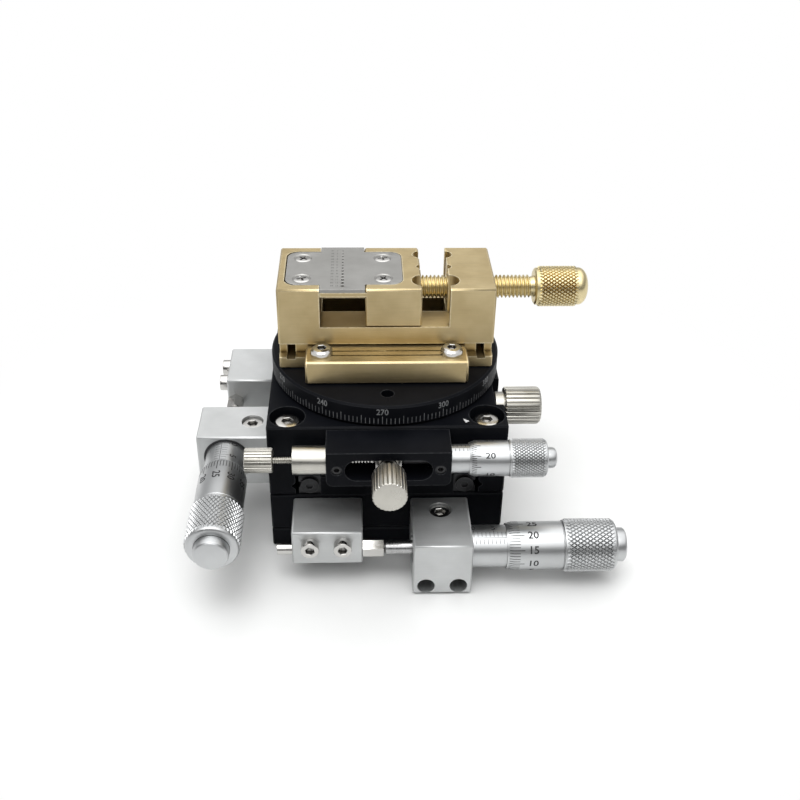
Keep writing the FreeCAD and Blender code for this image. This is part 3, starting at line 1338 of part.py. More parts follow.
def gauge_plate():
    """Steel plate over the jaw's bridge: graded holes and four countersunk screw holes."""
    body = new_body("gauge_plate")
    left = f"({TAIL_START})"
    right = PLATE_END
    half = "tail_width / 2"
    wide = "vise_width / 2"
    tongue_start = BRIDGE_START
    tongue_end = f"({JAW_BACK} - plate_fit)"
    outline = [
        (left, minus(half)), (tongue_start, minus(half)), (tongue_start, minus(wide)),
        (tongue_end, minus(wide)), (tongue_end, minus(half)), (right, minus(half)),
        (right, half), (tongue_end, half), (tongue_end, wide),
        (tongue_start, wide), (tongue_start, half), (left, half),
    ]
    extrude(body, "XY", [outline], PLATE_FOOT, VISE_TOP)
    corners = [(x, y) for x in (left, right) for y in (minus(half), half)]
    dress(body, "Fillet", "Radius", "plate_round", upright_at(corners))
    holes = []
    for index in range(SIZES["gauge_hole_count"]):
        along = f"({index} - (gauge_hole_count - 1) / 2) * gauge_hole_pitch"
        radius = f"gauge_hole_first_radius - {index} * gauge_hole_step"
        holes.append((PLATE_MIDDLE, along, radius))
    extrude(body, "XY", holes, f"{PLATE_FOOT} - 1", f"{VISE_TOP} + 1", cut=True)
    for x, y in plate_screw_xy():
        sink = body.newObject("PartDesign::SubtractiveCone", "gauge_plate_countersink")
        sink.AttachmentSupport = [(origin_part(body, "XY_Plane"), "")]
        sink.MapMode = "FlatFace"
        bind(sink, "AttachmentOffset.Base.x", x)
        bind(sink, "AttachmentOffset.Base.y", y)
        bind(sink, "AttachmentOffset.Base.z", PLATE_FOOT)
        bind(sink, "Height", "plate_thickness")
        bind(sink, "Radius1", "plate_screw_neck_radius + screw_fit")
        bind(sink, "Radius2", "plate_screw_head_radius + screw_fit")
        body.Tip = sink
    return finish(body)


def plate_screws():
    screws = []
    for x, y in plate_screw_xy():
        body = new_body("plate_screw")
        tip = "-bridge_thickness"
        revolve(body, [
            ("0", tip), ("plate_screw_shank_radius", tip), ("plate_screw_shank_radius", "0"),
            ("plate_screw_neck_radius", "0"), ("plate_screw_head_radius", "plate_thickness"),
            ("0", "plate_thickness"),
        ])
        arm = "plate_screw_head_radius * 0.5"
        width = "plate_screw_head_radius * 0.12"
        cross = [rectangle(minus(arm), arm, minus(width), width)]
        extrude(body, "XY", cross, "plate_thickness * 0.4", "plate_thickness + 1", cut=True)
        cross = [rectangle(minus(width), width, minus(arm), arm)]
        extrude(body, "XY", cross, "plate_thickness * 0.4", "plate_thickness + 1", cut=True)
        place(body, x, y, PLATE_FOOT)
        screws.append(body)
    return group("plate_screws", screws)


def jaw_pins():
    pins = []
    for x, y in jaw_pin_xy():
        pin = doc.addObject("Part::Cylinder", "jaw_pin")
        bind(pin, "Radius", "jaw_pin_radius")
        bind(pin, "Height", JAW_PIN_LENGTH)
        place(pin, x, y, JAW_FOOT)
        pins.append(pin)
    return group("jaw_pins", pins)


def jaw_keeper():
    body = new_body("jaw_keeper")
    middle = f"(({JAW_BACK} + {JAW_FACE}) / 2)"
    plate = rectangle(f"{middle} - keeper_length / 2", f"{middle} + keeper_length / 2",
                      "-keeper_width / 2", "keeper_width / 2")
    extrude(body, "XY", [plate], f"{KEEPER_TOP} - keeper_thickness", KEEPER_TOP)
    return finish(body)


def vise_screw():
    body = new_body("vise_screw")
    button = "screw_button_length"
    neck = "(screw_button_length + screw_neck_length)"
    knob = f"({VISE_END} + vise_knob_gap - {SCREW_TIP})"
    end = f"({knob} + vise_knob_length)"
    revolve(body, [
        ("0", "0"), ("screw_button_radius", "0"), ("screw_button_radius", button),
        ("screw_neck_radius", button), ("screw_neck_radius", neck), ("screw_radius", neck),
        ("screw_radius", knob), ("vise_knob_radius - knob_round", knob),
        ("vise_knob_radius", f"{knob} + knob_round"), ("vise_knob_radius", end), ("0", end),
    ])
    dress(body, "Fillet", "Radius", "vise_knob_dome", rim_at(end, "vise_knob_radius"))
    place(body, SCREW_TIP, "0", SCREW_Z, "+X")
    return finish(body)


def clamp_bar(label, side):
    """Step clamp whose toe presses on the vise's side ledge."""
    body = new_body(label)
    inner = "(vise_width / 2 + clamp_bar_gap)"
    outer = f"({inner} + clamp_bar_depth)"
    toe_tip = f"({inner} - clamp_toe_length - clamp_bar_gap)"
    top = f"({VISE_LEDGE} + clamp_toe_thickness)"
    foot = f"({TABLE_TOP} + clamp_bar_lift)"
    half = "clamp_bar_length / 2"
    section = rectangle(f"{side} * {inner}", f"{side} * {outer}", foot, top)
    extrude(body, "YZ", [section], minus(half), half)
    break_edges(body, "edge_break")
    toe = rectangle(f"{side} * {toe_tip}", f"{side} * ({inner} + 0.6)", VISE_LEDGE, top)
    extrude(body, "YZ", [toe], f"-{half} + edge_break", f"{half} - edge_break")
    holes = [(f"{i} * clamp_screw_spacing / 2", f"{side} * ({inner} + clamp_screw_setback)",
              "medium_shank_radius + screw_fit") for i in SIGNS]
    extrude(body, "XY", holes, f"{foot} - {OVER}", f"{top} + {OVER}", cut=True)
    return finish(body)


def clamp_bar_screws():
    seat = f"{VISE_LEDGE} + clamp_toe_thickness"
    length = "vise_foot_height + clamp_toe_thickness + button_screw_depth"
    screws = []
    for x, y in clamp_screw_xy():
        screw = cap_screw("clamp_bar_screw", "medium_shank_radius", length, "button_head_radius",
                          "button_head_height", "medium_shank_radius * 0.75", rounding="button_head_round")
        place(screw, x, y, seat)
        screws.append(screw)
    return group("clamp_bar_screws", screws)


# ---------------------------------------------------------------- build

base_plate()
x_block()
y_block()
way_rails("x_rails", "x")
way_rails("y_rails", "y")
rail_end_screws("x_rail_end_screws", "x")
rail_end_screws("y_rail_end_screws", "y")
roller_cages("x_roller_cages", "x")
roller_cages("y_roller_cages", "y")
slide_drive("x")
slide_drive("y")
rotary_base()
corner_screws()
table_bearing()
fine_block()
fine_block_screws()
fine_arm()
clamp_screw_and_pad()
theta_head()
spring_plunger()
lock_screw_and_shoe()
rotary_table()
table_retainer()
vise_body()
moving_jaw()
gauge_plate()
plate_screws()
jaw_pins()
jaw_keeper()
vise_screw()
clamp_bar("front_clamp_bar", "-1")
clamp_bar("rear_clamp_bar", "1")
clamp_bar_screws()
doc.recompute()

for item in doc.Objects:
    if "Invalid" in item.State or "Error" in item.State:
        raise RuntimeError(f"{item.Name} did not compute: {item.State}")
for node in nodes:
    if node.Shape.isNull() or not node.Shape.isValid():
        raise RuntimeError(f"{node.Label} has no valid shape")

os.makedirs("parts", exist_ok=True)
for node in nodes:
    node.Shape.exportStep(f"parts/{node.Label}.step")
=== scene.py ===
# Looks of the XYR alignment stage: materials, knurls, threads, graduations and figures on the
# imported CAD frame, with a pale floor, soft light and the camera. Lengths are millimetres until
# a mesh is made, where MM turns them into metres. Angles are degrees where DEGREE follows them.

import json
import math
import bpy
import bmesh
from mathutils import Matrix, Vector

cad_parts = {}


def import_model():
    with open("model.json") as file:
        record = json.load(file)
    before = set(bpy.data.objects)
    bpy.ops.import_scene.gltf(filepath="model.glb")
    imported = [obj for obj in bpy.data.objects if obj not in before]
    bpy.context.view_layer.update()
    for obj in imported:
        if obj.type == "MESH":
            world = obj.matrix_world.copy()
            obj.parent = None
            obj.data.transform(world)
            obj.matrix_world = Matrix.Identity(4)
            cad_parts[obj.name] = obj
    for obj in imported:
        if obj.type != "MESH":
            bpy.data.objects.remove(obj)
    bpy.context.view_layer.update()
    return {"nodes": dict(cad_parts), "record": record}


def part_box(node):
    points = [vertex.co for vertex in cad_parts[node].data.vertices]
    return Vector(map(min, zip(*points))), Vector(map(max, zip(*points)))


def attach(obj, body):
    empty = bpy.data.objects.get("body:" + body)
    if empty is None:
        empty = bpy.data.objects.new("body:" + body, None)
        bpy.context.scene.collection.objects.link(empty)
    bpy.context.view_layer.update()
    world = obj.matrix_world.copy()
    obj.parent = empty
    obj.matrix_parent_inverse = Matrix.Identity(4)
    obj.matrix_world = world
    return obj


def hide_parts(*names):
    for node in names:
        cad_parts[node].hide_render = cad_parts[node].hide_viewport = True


MM = 0.001
TURN = 2 * math.pi
QUARTER = math.pi / 2
DEGREE = TURN / 360
UP = Vector((0, 0, 1))
AXIS = 0.02             # radius that a cap on the axis shrinks to

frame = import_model()


# ------------ materials

NOISE_RANGE = (0.3, 0.7)        # where most of a noise texture's values lie
OCCLUSION_SAMPLES = 6
EDGE_WEAR_AND_HIGHLIGHT_RANGE = (0.93, 0.6)        # inner occlusion, from a plain edge to full scuffing and painted highlight
EDGE_PATCH_GRAIN = 1.1                # patches of edge scuffing and painted highlight per millimetre
LEAST_EDGE_SHARE = 0.25               # share of the scuffing and painted highlight that every edge has
GROOVE_RANGE = (0.82, 0.4)      # occlusion outside a piece, from no painted shade to full painted shade
GROOVE_SHADE = 0.9


def shader(name):
    """New node material: its material, tree and Principled shader."""
    material = bpy.data.materials.new(name)
    material.use_nodes = True
    tree = material.node_tree
    return material, tree, tree.nodes["Principled BSDF"]


def add(tree, kind, **settings):
    """New node of this kind with these settings."""
    node = tree.nodes.new(kind)
    for key, setting in settings.items():
        setattr(node, key, setting)
    return node


def grain(tree, stretch, detail=4.0):
    """Noise in object space, with these features per millimetre along each axis."""
    place = add(tree, "ShaderNodeTexCoord")
    mapping = add(tree, "ShaderNodeMapping")
    mapping.inputs["Scale"].default_value = [s / MM for s in stretch]
    noise = add(tree, "ShaderNodeTexNoise")
    noise.inputs["Scale"].default_value = 1.0
    noise.inputs["Detail"].default_value = detail
    tree.links.new(place.outputs["Object"], mapping.inputs["Vector"])
    tree.links.new(mapping.outputs["Vector"], noise.inputs["Vector"])
    return noise.outputs["Fac"]


def ramp(tree, source, low, high, start=NOISE_RANGE[0], end=NOISE_RANGE[1]):
    """Colour that runs from low to high while the source runs from start to end."""
    node = add(tree, "ShaderNodeValToRGB")
    for stop, position, colour in zip(node.color_ramp.elements, (start, end), (low, high)):
        stop.position = position
        stop.color = (*colour, 1)
    tree.links.new(source, node.inputs["Fac"])
    return node.outputs["Color"]


def remap(tree, source, source_range, low=0.0, high=1.0, smooth=False):
    """Value that runs from low to high while the source runs over its range."""
    kind = "SMOOTHSTEP" if smooth else "LINEAR"
    node = add(tree, "ShaderNodeMapRange", interpolation_type=kind)
    node.inputs["From Min"].default_value = source_range[0]
    node.inputs["From Max"].default_value = source_range[1]
    node.inputs["To Min"].default_value = low
    node.inputs["To Max"].default_value = high
    tree.links.new(source, node.inputs["Value"])
    return node.outputs["Result"]


def combine(tree, operation, first, second):
    """Sum, product or the like of two values."""
    node = add(tree, "ShaderNodeMath", operation=operation)
    tree.links.new(first, node.inputs[0])
    tree.links.new(second, node.inputs[1])
    return node.outputs["Value"]


def occlusion(tree, distance, inside):
    """How open the space is within this distance, inside or outside the piece."""
    node = add(tree, "ShaderNodeAmbientOcclusion", inside=inside, only_local=True,
               samples=OCCLUSION_SAMPLES)
    node.inputs["Distance"].default_value = distance * MM
    return node.outputs["AO"]


def relief(tree, surface, source, height):
    """Bump of this height on the surface."""
    bump = add(tree, "ShaderNodeBump")
    bump.inputs["Strength"].default_value = 1.0
    bump.inputs["Distance"].default_value = height * MM
    tree.links.new(source, bump.inputs["Height"])
    tree.links.new(bump.outputs["Normal"], surface.inputs["Normal"])


def edge_mask(tree, width, amount):
    """Scuffed edges with a painted highlight: where the inside of the piece is thin, broken up by a
    fine noise.
    """
    edge = remap(tree, occlusion(tree, width, inside=True), EDGE_WEAR_AND_HIGHLIGHT_RANGE)
    blotches = grain(tree, (EDGE_PATCH_GRAIN,) * 3, detail=5.0)
    patchy = remap(tree, blotches, NOISE_RANGE, amount * LEAST_EDGE_SHARE, amount)
    return combine(tree, "MULTIPLY", edge, patchy)


def groove_mask(tree, reach):
    """Painted shade in knurls, threads, corners and hollows: where the outside of the piece is
    hemmed in.
    """
    return remap(tree, occlusion(tree, reach, inside=False), GROOVE_RANGE, high=GROOVE_SHADE)


def blend_colour(tree, factor, first, second):
    """Mix of a linked colour with a plain one."""
    mix = add(tree, "ShaderNodeMix", data_type="RGBA")
    tree.links.new(factor, mix.inputs["Factor"])
    tree.links.new(first, mix.inputs["A"])
    mix.inputs["B"].default_value = (*second, 1)
    return mix.outputs["Result"]


TONE_GRAIN = 0.12               # drifts of tone per millimetre
STREAK_RANGE = (0.35, 0.6)      # lines this deep in the noise run from dark to plain


def metal(name, low, high, rough, lay, lay_height, streak=0.9, metallic=1.0, gloss=0.5,
          edge_wear_and_highlight=None, edge_width=0.3, edge_strength=0.7, shade=None, reach=0.6):
    """A machined finish: tone drifting from low to high, and fine lines in the lay's direction.

    rough is the range of the roughness, lay the number of lines per millimetre along X, Y and
    Z, and streak the tone of the deepest. worn is the colour of scuffed edges with a painted
    highlight on them, edge_width how far they reach and wear how strong they are. shade is the
    colour of painted shade in grooves, corners and hollows, and reach how wide a groove still
    has it.
    """
    material, tree, surface = shader(name)
    surface.inputs["Metallic"].default_value = metallic
    surface.inputs["Specular IOR Level"].default_value = gloss
    lines = grain(tree, lay, detail=3.0)
    streaks = add(tree, "ShaderNodeMix", data_type="RGBA", blend_type="MULTIPLY")
    streaks.inputs["Factor"].default_value = 1.0
    tone = ramp(tree, grain(tree, (TONE_GRAIN,) * 3), low, high)
    tree.links.new(tone, streaks.inputs["A"])
    tree.links.new(ramp(tree, lines, (streak,) * 3, (1.0,) * 3, *STREAK_RANGE), streaks.inputs["B"])
    colour = streaks.outputs["Result"]
    # Painted shade in grooves and corners, then scuffed edges lit by painted highlight.
    if shade:
        colour = blend_colour(tree, groove_mask(tree, reach), colour, shade)
    if edge_wear_and_highlight:
        colour = blend_colour(tree, edge_mask(tree, edge_width, edge_strength), colour, edge_wear_and_highlight)
    tree.links.new(colour, surface.inputs["Base Color"])
    tree.links.new(remap(tree, lines, NOISE_RANGE, *rough), surface.inputs["Roughness"])
    relief(tree, surface, lines, lay_height)
    return material


# Lines per millimetre along X, Y and Z: few along the lay, many across it.
ALONG_X = (0.12, 7.0, 7.0)
GROUND_X = (0.3, 8.0, 8.0)
ROUND_Z = (0.25, 0.25, 9.0)
BLASTED = (6.0, 6.0, 6.0)
PLAIN = (4.0, 4.0, 4.0)

# Each shade colour below is painted shade in grooves, corners and hollows; each edge colour is edge
# scuffing with a painted highlight.
BLACK = metal("black_anodised", (0.003, 0.0035, 0.005), (0.0055, 0.006, 0.008), (0.38, 0.5),
              BLASTED, 0.004, metallic=0.0, gloss=0.055,
              edge_wear_and_highlight=(0.1, 0.105, 0.11), edge_width=0.22, edge_strength=0.6)
SATIN = metal("satin_aluminium", (0.56, 0.57, 0.57), (0.64, 0.65, 0.65), (0.5, 0.6),
              ALONG_X, 0.002, streak=0.94,
              edge_wear_and_highlight=(0.86, 0.87, 0.87), edge_width=0.25, edge_strength=0.5,
              shade=(0.02, 0.02, 0.02), reach=3.0)
BRASS = metal("brushed_brass", (0.49, 0.385, 0.205), (0.62, 0.505, 0.29), (0.38, 0.52),
              ALONG_X, 0.003,
              edge_wear_and_highlight=(1.0, 0.92, 0.68), edge_width=0.35, edge_strength=1.0,
              shade=(0.05, 0.03, 0.012), reach=1.6)
GOLD = metal("turned_brass", (0.66, 0.56, 0.32), (0.78, 0.67, 0.4), (0.3, 0.4),
             ROUND_Z, 0.002, streak=0.95,
             edge_wear_and_highlight=(0.98, 0.9, 0.64), edge_width=0.25, edge_strength=0.8,
             shade=(0.5, 0.38, 0.19), reach=0.4)
PLATE = metal("ground_plate", (0.35, 0.345, 0.33), (0.42, 0.415, 0.4), (0.44, 0.58),
              GROUND_X, 0.002, streak=0.92,
              edge_wear_and_highlight=(0.62, 0.61, 0.59), edge_width=0.15, edge_strength=0.5,
              shade=(0.04, 0.04, 0.038), reach=0.6)
STAINLESS = metal("stainless", (0.53, 0.52, 0.5), (0.64, 0.63, 0.61), (0.14, 0.24),
                  ROUND_Z, 0.001, streak=0.95,
                  edge_wear_and_highlight=(0.9, 0.89, 0.87), edge_width=0.15, edge_strength=0.5,
                  shade=(0.06, 0.057, 0.055), reach=1.5)
NICKEL = metal("nickel", (0.45, 0.437, 0.395), (0.56, 0.545, 0.5), (0.26, 0.36),
               ROUND_Z, 0.001, streak=0.95,
               edge_wear_and_highlight=(0.9, 0.88, 0.83), edge_width=0.2, edge_strength=0.6,
               shade=(0.1, 0.095, 0.085), reach=0.6)
CHROME = metal("satin_chrome", (0.48, 0.49, 0.495), (0.55, 0.56, 0.565), (0.33, 0.38),
               ROUND_Z, 0.0004, streak=0.985,
               edge_wear_and_highlight=(0.95, 0.96, 0.96), edge_width=0.2, edge_strength=0.7,
               shade=(0.24, 0.24, 0.24), reach=0.35)
# Steel darkened as painted shade: the rails and the fine spindle sit in shadow.
SHADED_STEEL = metal("steel_darkened_as_shade", (0.03, 0.03, 0.032), (0.06, 0.06, 0.062), (0.3, 0.42),
             PLAIN, 0.002, metallic=0.6, gloss=0.2)
STEEL = metal("ground_steel", (0.45, 0.45, 0.45), (0.56, 0.56, 0.56), (0.2, 0.34),
              PLAIN, 0.002)
OXIDE = metal("black_oxide", (0.012, 0.012, 0.013), (0.03, 0.03, 0.032), (0.3, 0.42),
              PLAIN, 0.003, metallic=0.5,
              edge_wear_and_highlight=(0.2, 0.2, 0.2), edge_width=0.15, edge_strength=0.5)

SPECKLE = 2.0                   # specks of paint per millimetre


def paint(name, low, high, rough):
    """A matt paint or ink, a little speckled."""
    material, tree, surface = shader(name)
    speckle = grain(tree, (SPECKLE,) * 3)
    tree.links.new(ramp(tree, speckle, low, high), surface.inputs["Base Color"])
    surface.inputs["Roughness"].default_value = rough
    return material


INK = paint("black_ink", (0.012, 0.012, 0.013), (0.03, 0.03, 0.032), 0.6)
WHITE = paint("white_ink", (0.12, 0.125, 0.13), (0.2, 0.205, 0.21), 0.6)
INDEX = paint("index_white", (0.5, 0.5, 0.5), (0.62, 0.62, 0.62), 0.5)
ETCH = paint("etched_figures", (0.11, 0.11, 0.105), (0.18, 0.18, 0.17), 0.6)

MATERIALS = {
    "black_anodised": BLACK,
    "satin_aluminium": SATIN,
    "brass": BRASS,
    "plate_steel": PLATE,
    "stainless": STAINLESS,
    "hardened_steel": STEEL,
    "satin_chrome": CHROME,
    "nickel": NICKEL,
    "black_oxide": OXIDE,
}


# ------------ CAD nodes keep their shape

SLOT_OF = {s["node"]: s["material_slot"] for s in frame["record"]["subparts"]}
# Nodes that sit in shadow, in slots and under blocks, get the darkened steel: painted shade.
IN_SHADOW_NODES = ("x_rails", "y_rails", "theta_spindle")
EDGE = {"black_anodised": 0.14, "brass": 0.22, "satin_aluminium": 0.15, "plate_steel": 0.05}
FINE_EDGE = 0.06                # of every other material
EDGE_STEPS = 2
EDGE_ANGLE = 38                 # an edge at least this sharp is rounded
WELD_GAP = 0.001


def dress(node):
    """Give a CAD node its finish, and soften its edges with modifiers only."""
    item = frame["nodes"][node]
    item.data.materials.clear()
    # A node in shadow gets the darkened steel, which is painted shade.
    item.data.materials.append(SHADED_STEEL if node in IN_SHADOW_NODES else MATERIALS[SLOT_OF[node]])
    for face in item.data.polygons:
        face.use_smooth = True
    weld = item.modifiers.new("weld", "WELD")
    weld.merge_threshold = WELD_GAP * MM
    edge = item.modifiers.new("edge", "BEVEL")
    edge.width = EDGE.get(SLOT_OF[node], FINE_EDGE) * MM
    edge.segments = EDGE_STEPS
    edge.limit_method = "ANGLE"
    edge.angle_limit = math.radians(EDGE_ANGLE)
    even = item.modifiers.new("even", "WEIGHTED_NORMAL")
    even.mode = "FACE_AREA"


for node in frame["nodes"]:
    dress(node)


# ------------ turned shapes

ROUND_STEPS = 96
SHARP = 32                      # edges at least this sharp stay sharp
JOIN_GAP = 0.0005               # vertices this close become one


def hexagon(corner):
    """Radius of a hexagon with this corner radius, by angle."""
    def radius(angle):
        offset = (angle + TURN / 12) % (TURN / 6) - TURN / 12
        return corner * math.cos(TURN / 12) / math.cos(TURN / 12 - abs(offset))
    return radius


def cross(arm, half_width):
    """Radius of a cross recess, by angle."""
    def box(angle, a, b):
        return min(a / max(abs(math.cos(angle)), 1e-6), b / max(abs(math.sin(angle)), 1e-6))

    def radius(angle):
        return max(box(angle, arm, half_width), box(angle, half_width, arm))
    return radius


FLUTE_STEEPNESS = 2.6           # at 1 the V grooves meet, above it ridges stay between them


def fluted(outer, depth, count):
    """Radius of a straight-knurled knob, by angle: ridges between V grooves."""
    def radius(angle):
        phase = abs((angle * count / TURN) % 1.0 - 0.5) * 2
        return outer - depth * max(0.0, 1 - phase * FLUTE_STEEPNESS)
    return radius


def radius_at(radius, where):
    return radius(where) if callable(radius) else radius


def on_circle(radius, angle, along):
    """Point at this angle about local Z."""
    return (radius * math.cos(angle), radius * math.sin(angle), along)


def wall(below, above, steps):
    """Faces between two rings, given the first vertex of each."""
    return [(below + k, below + (k + 1) % steps, above + (k + 1) % steps, above + k)
            for k in range(steps)]


def new_piece(name, vertices, faces, material, sharp=SHARP):
    """Object with this mesh, given in millimetres."""
    mesh = bpy.data.meshes.new(name)
    mesh.from_pydata([Vector(v) * MM for v in vertices], [], faces)
    mesh.materials.append(material)
    for face in mesh.polygons:
        face.use_smooth = True
    mesh.set_sharp_from_angle(angle=math.radians(sharp))
    piece = bpy.data.objects.new(name, mesh)
    bpy.context.scene.collection.objects.link(piece)
    return piece


def rings(name, outline, material, steps=ROUND_STEPS, sharp=SHARP, closed=False):
    """Rings lofted along local Z, with a cap at each end or closed into a tube.

    An outline corner is (radius, distance), and the radius may be a function of the angle.
    """
    vertices = []
    faces = []
    for radius, along in outline:
        for k in range(steps):
            angle = TURN * k / steps
            vertices.append(on_circle(radius_at(radius, angle), angle, along))
    last = len(vertices) - steps
    for row in range(0, last, steps):
        faces += wall(row, row + steps, steps)
    if closed:
        faces += wall(last, 0, steps)
    else:
        faces.append(tuple(reversed(range(steps))))
        faces.append(tuple(range(last, last + steps)))
    piece = new_piece(name, vertices, faces, material, sharp)
    join_vertices(piece.data)
    return piece


def join_vertices(mesh):
    """Join vertices that coincide, and turn all faces outwards."""
    made = bmesh.new()
    made.from_mesh(mesh)
    bmesh.ops.remove_doubles(made, verts=made.verts, dist=JOIN_GAP * MM)
    bmesh.ops.recalc_face_normals(made, faces=made.faces)
    made.to_mesh(mesh)
    made.free()


def axis_matrix(origin, along):
    """Matrix whose local Z runs along the axis and whose local X points up."""
    z = Vector(along).normalized()
    x = UP.copy() if abs(z.dot(UP)) < 0.9 else Vector((1, 0, 0))
    y = z.cross(x)
    turn = Matrix((x, y, z)).transposed().to_4x4()
    return Matrix.Translation(Vector(origin)) @ turn


def seat(piece, matrix, body, stands_for=()):
    """Place a piece, let it ride on a body, and hide the CAD nodes that it stands for."""
    piece.matrix_world = matrix
    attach(piece, body)
    if stands_for:
        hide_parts(*stands_for)


def centre(node):
    low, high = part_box(node)
    return (low + high) / 2


def main_axis(along):
    """Index of the axis that a direction lies on."""
    return max(range(3), key=lambda i: abs(along[i]))


def axis_point(node, along, end):
    """Point on a turned node's axis at its "start" or "end" in that direction."""
    low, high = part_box(node)
    point = centre(node)
    index = main_axis(along)
    forward = along[index] > 0
    point[index] = (low if forward == (end == "start") else high)[index]
    return point


def node_length(node, along):
    """Length of a node in that direction, in millimetres."""
    low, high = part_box(node)
    index = main_axis(along)
    return (high[index] - low[index]) / MM


# ------------ knurls and threads

def diamond_band(radius, depth, start, end, count, rows, flat):
    """Vertices and faces of a diamond knurl: pyramids with flat tops between V grooves.

    count is the number of pyramids round the band, and flat the share of a pyramid that its
    top keeps.
    """
    vertices = []
    faces = []
    steps = 2 * count
    step = TURN / steps
    pitch = (end - start) / rows
    base = {}
    for row in range(rows + 1):
        for k in range(steps):
            if (k + row) % 2 == 0 or row in (0, rows):
                base[k, row] = len(vertices)
                vertices.append(on_circle(radius - depth, k * step, start + row * pitch))
    for row in range(rows + 1):
        for k in range(steps):
            if (k + row) % 2 == 0:
                continue
            left = base[(k - 1) % steps, row]
            right = base[(k + 1) % steps, row]
            if row in (0, rows):
                other = base[k, 1 if row == 0 else rows - 1]
                faces.append((left, base[k, row], other))
                faces.append((base[k, row], right, other))
                continue
            low = base[k, row - 1]
            high = base[k, row + 1]
            tops = []
            for turn, lift in ((-flat, 0), (0, -flat), (flat, 0), (0, flat)):
                tops.append(len(vertices))
                vertices.append(on_circle(radius, (k + turn) * step, start + (row + lift) * pitch))
            faces.append(tuple(tops))
            around = (left, low, right, high)
            for i in range(4):
                j = (i + 1) % 4
                faces.append((around[i], around[j], tops[j], tops[i]))
    return vertices, faces


KNURL_SHARP = 25
KNURL_CAP = 0.05                # radius that a knurled piece's closed end shrinks to


def knurled(name, before, band, after, material):
    """Turned outline before and after a diamond-knurled band, all in one piece."""
    vertices, faces = diamond_band(**band)
    steps = 2 * band["count"]
    for outline in (before, after):
        first = len(vertices)
        for radius, along in outline:
            vertices += [on_circle(radius, TURN * k / steps, along) for k in range(steps)]
        last = len(vertices) - steps
        for row in range(first, last, steps):
            faces += wall(row, row + steps, steps)
        if outline[0][0] <= KNURL_CAP:
            faces.append(tuple(reversed(range(first, first + steps))))
        if outline[-1][0] <= KNURL_CAP:
            faces.append(tuple(range(last, last + steps)))
    piece = new_piece(name, vertices, faces, material, KNURL_SHARP)
    join_vertices(piece.data)
    return piece


THREAD_PARTS = 12               # rings in each pitch
THREAD_FADE = 0.7               # pitches over which a thread starts and ends
CREST = 0.14                    # share of the pitch that is crest
FLANK = 0.66                    # share of the pitch that is flank; the rest is root
SOFT = 60                       # edges up to this sharp are shaded smooth


def thread(name, radius, depth, pitch, start, end, material, steps):
    """Screw thread with flat crests and roots, faded in at both ends and closed with caps."""
    count = int((end - start) / pitch * THREAD_PARTS)
    fade_length = pitch * THREAD_FADE
    vertices = []
    faces = []
    for row in range(count + 1):
        along = start + (end - start) * row / count
        fade = min(1.0, (along - start) / fade_length, (end - along) / fade_length)
        for k in range(steps):
            phase = abs(((along / pitch - k / steps) % 1.0) - 0.5) * 2
            cut = min(1.0, max(0.0, (phase - CREST) / FLANK))
            height = radius - depth * (1.0 - (1.0 - cut) * fade)
            vertices.append(on_circle(height, TURN * k / steps, along))
    last = count * steps
    for row in range(0, last, steps):
        faces += wall(row, row + steps, steps)
    faces.append(tuple(reversed(range(steps))))
    faces.append(tuple(range(last, last + steps)))
    return new_piece(name, vertices, faces, material, SOFT)


# ------------ graduations and figures

LIFT = 0.012                    # of the ink above its surface
BOLD = 0.02                     # share of a figure's size that its strokes are thickened by
FIGURE_CUTS = 3                 # cuts of each edge, so that a figure follows a round surface
BAR_PARTS = 6


class Marks:
    """Ink marks gathered into one mesh. place maps flat (u, v) millimetres to a surface."""

    def __init__(self, place):
        self.place = place
        self.vertices = []
        self.faces = []

    def bar(self, u0, u1, v0, v1, parts=BAR_PARTS):
        """A straight bar, divided across the surface's curve."""
        for i in range(parts + 1):
            first = len(self.vertices)
            u = u0 + (u1 - u0) * i / parts
            self.vertices += [self.place(u, v0), self.place(u, v1)]
            if i < parts:
                self.faces.append((first, first + 2, first + 3, first + 1))

    def polygon(self, corners):
        """A flat patch with these corners."""
        first = len(self.vertices)
        self.vertices += [self.place(u, v) for u, v in corners]
        self.faces.append(tuple(range(first, len(self.vertices))))

    def text(self, words, size, u, v, turned=False, stretch=1.0):
        """Figures centred at (u, v); turned ones read along +v with their tops towards -u."""
        curve = bpy.data.curves.new("figures", "FONT")
        curve.body = words
        curve.size = size
        curve.align_x = "CENTER"
        curve.align_y = "CENTER"
        curve.resolution_u = 3
        curve.offset = BOLD * size
        holder = bpy.data.objects.new("figures", curve)
        flat = bpy.data.meshes.new_from_object(holder)
        made = bmesh.new()
        made.from_mesh(flat)
        bmesh.ops.triangulate(made, faces=made.faces)
        bmesh.ops.subdivide_edges(made, edges=made.edges, cuts=FIGURE_CUTS, use_grid_fill=True)
        first = len(self.vertices)
        for vertex in made.verts:
            x, y = vertex.co.x * stretch, vertex.co.y
            if turned:
                x, y = -y, x
            self.vertices.append(self.place(u + x, v + y))
        made.verts.index_update()
        for face in made.faces:
            self.faces.append(tuple(first + vertex.index for vertex in face.verts))
        made.free()
        bpy.data.objects.remove(holder)
        bpy.data.curves.remove(curve)
        bpy.data.meshes.remove(flat)

    def piece(self, name, material):
        """All the marks as one piece."""
        return new_piece(name, self.vertices, self.faces, material, SOFT)


def round_place(radius):
    """Surface of a cylinder about local Z: u runs round it, v along it."""
    def place(u, v):
        r = radius_at(radius, v)
        return on_circle(r + LIFT, u / r, v)
    return place


# ------------ micrometer heads

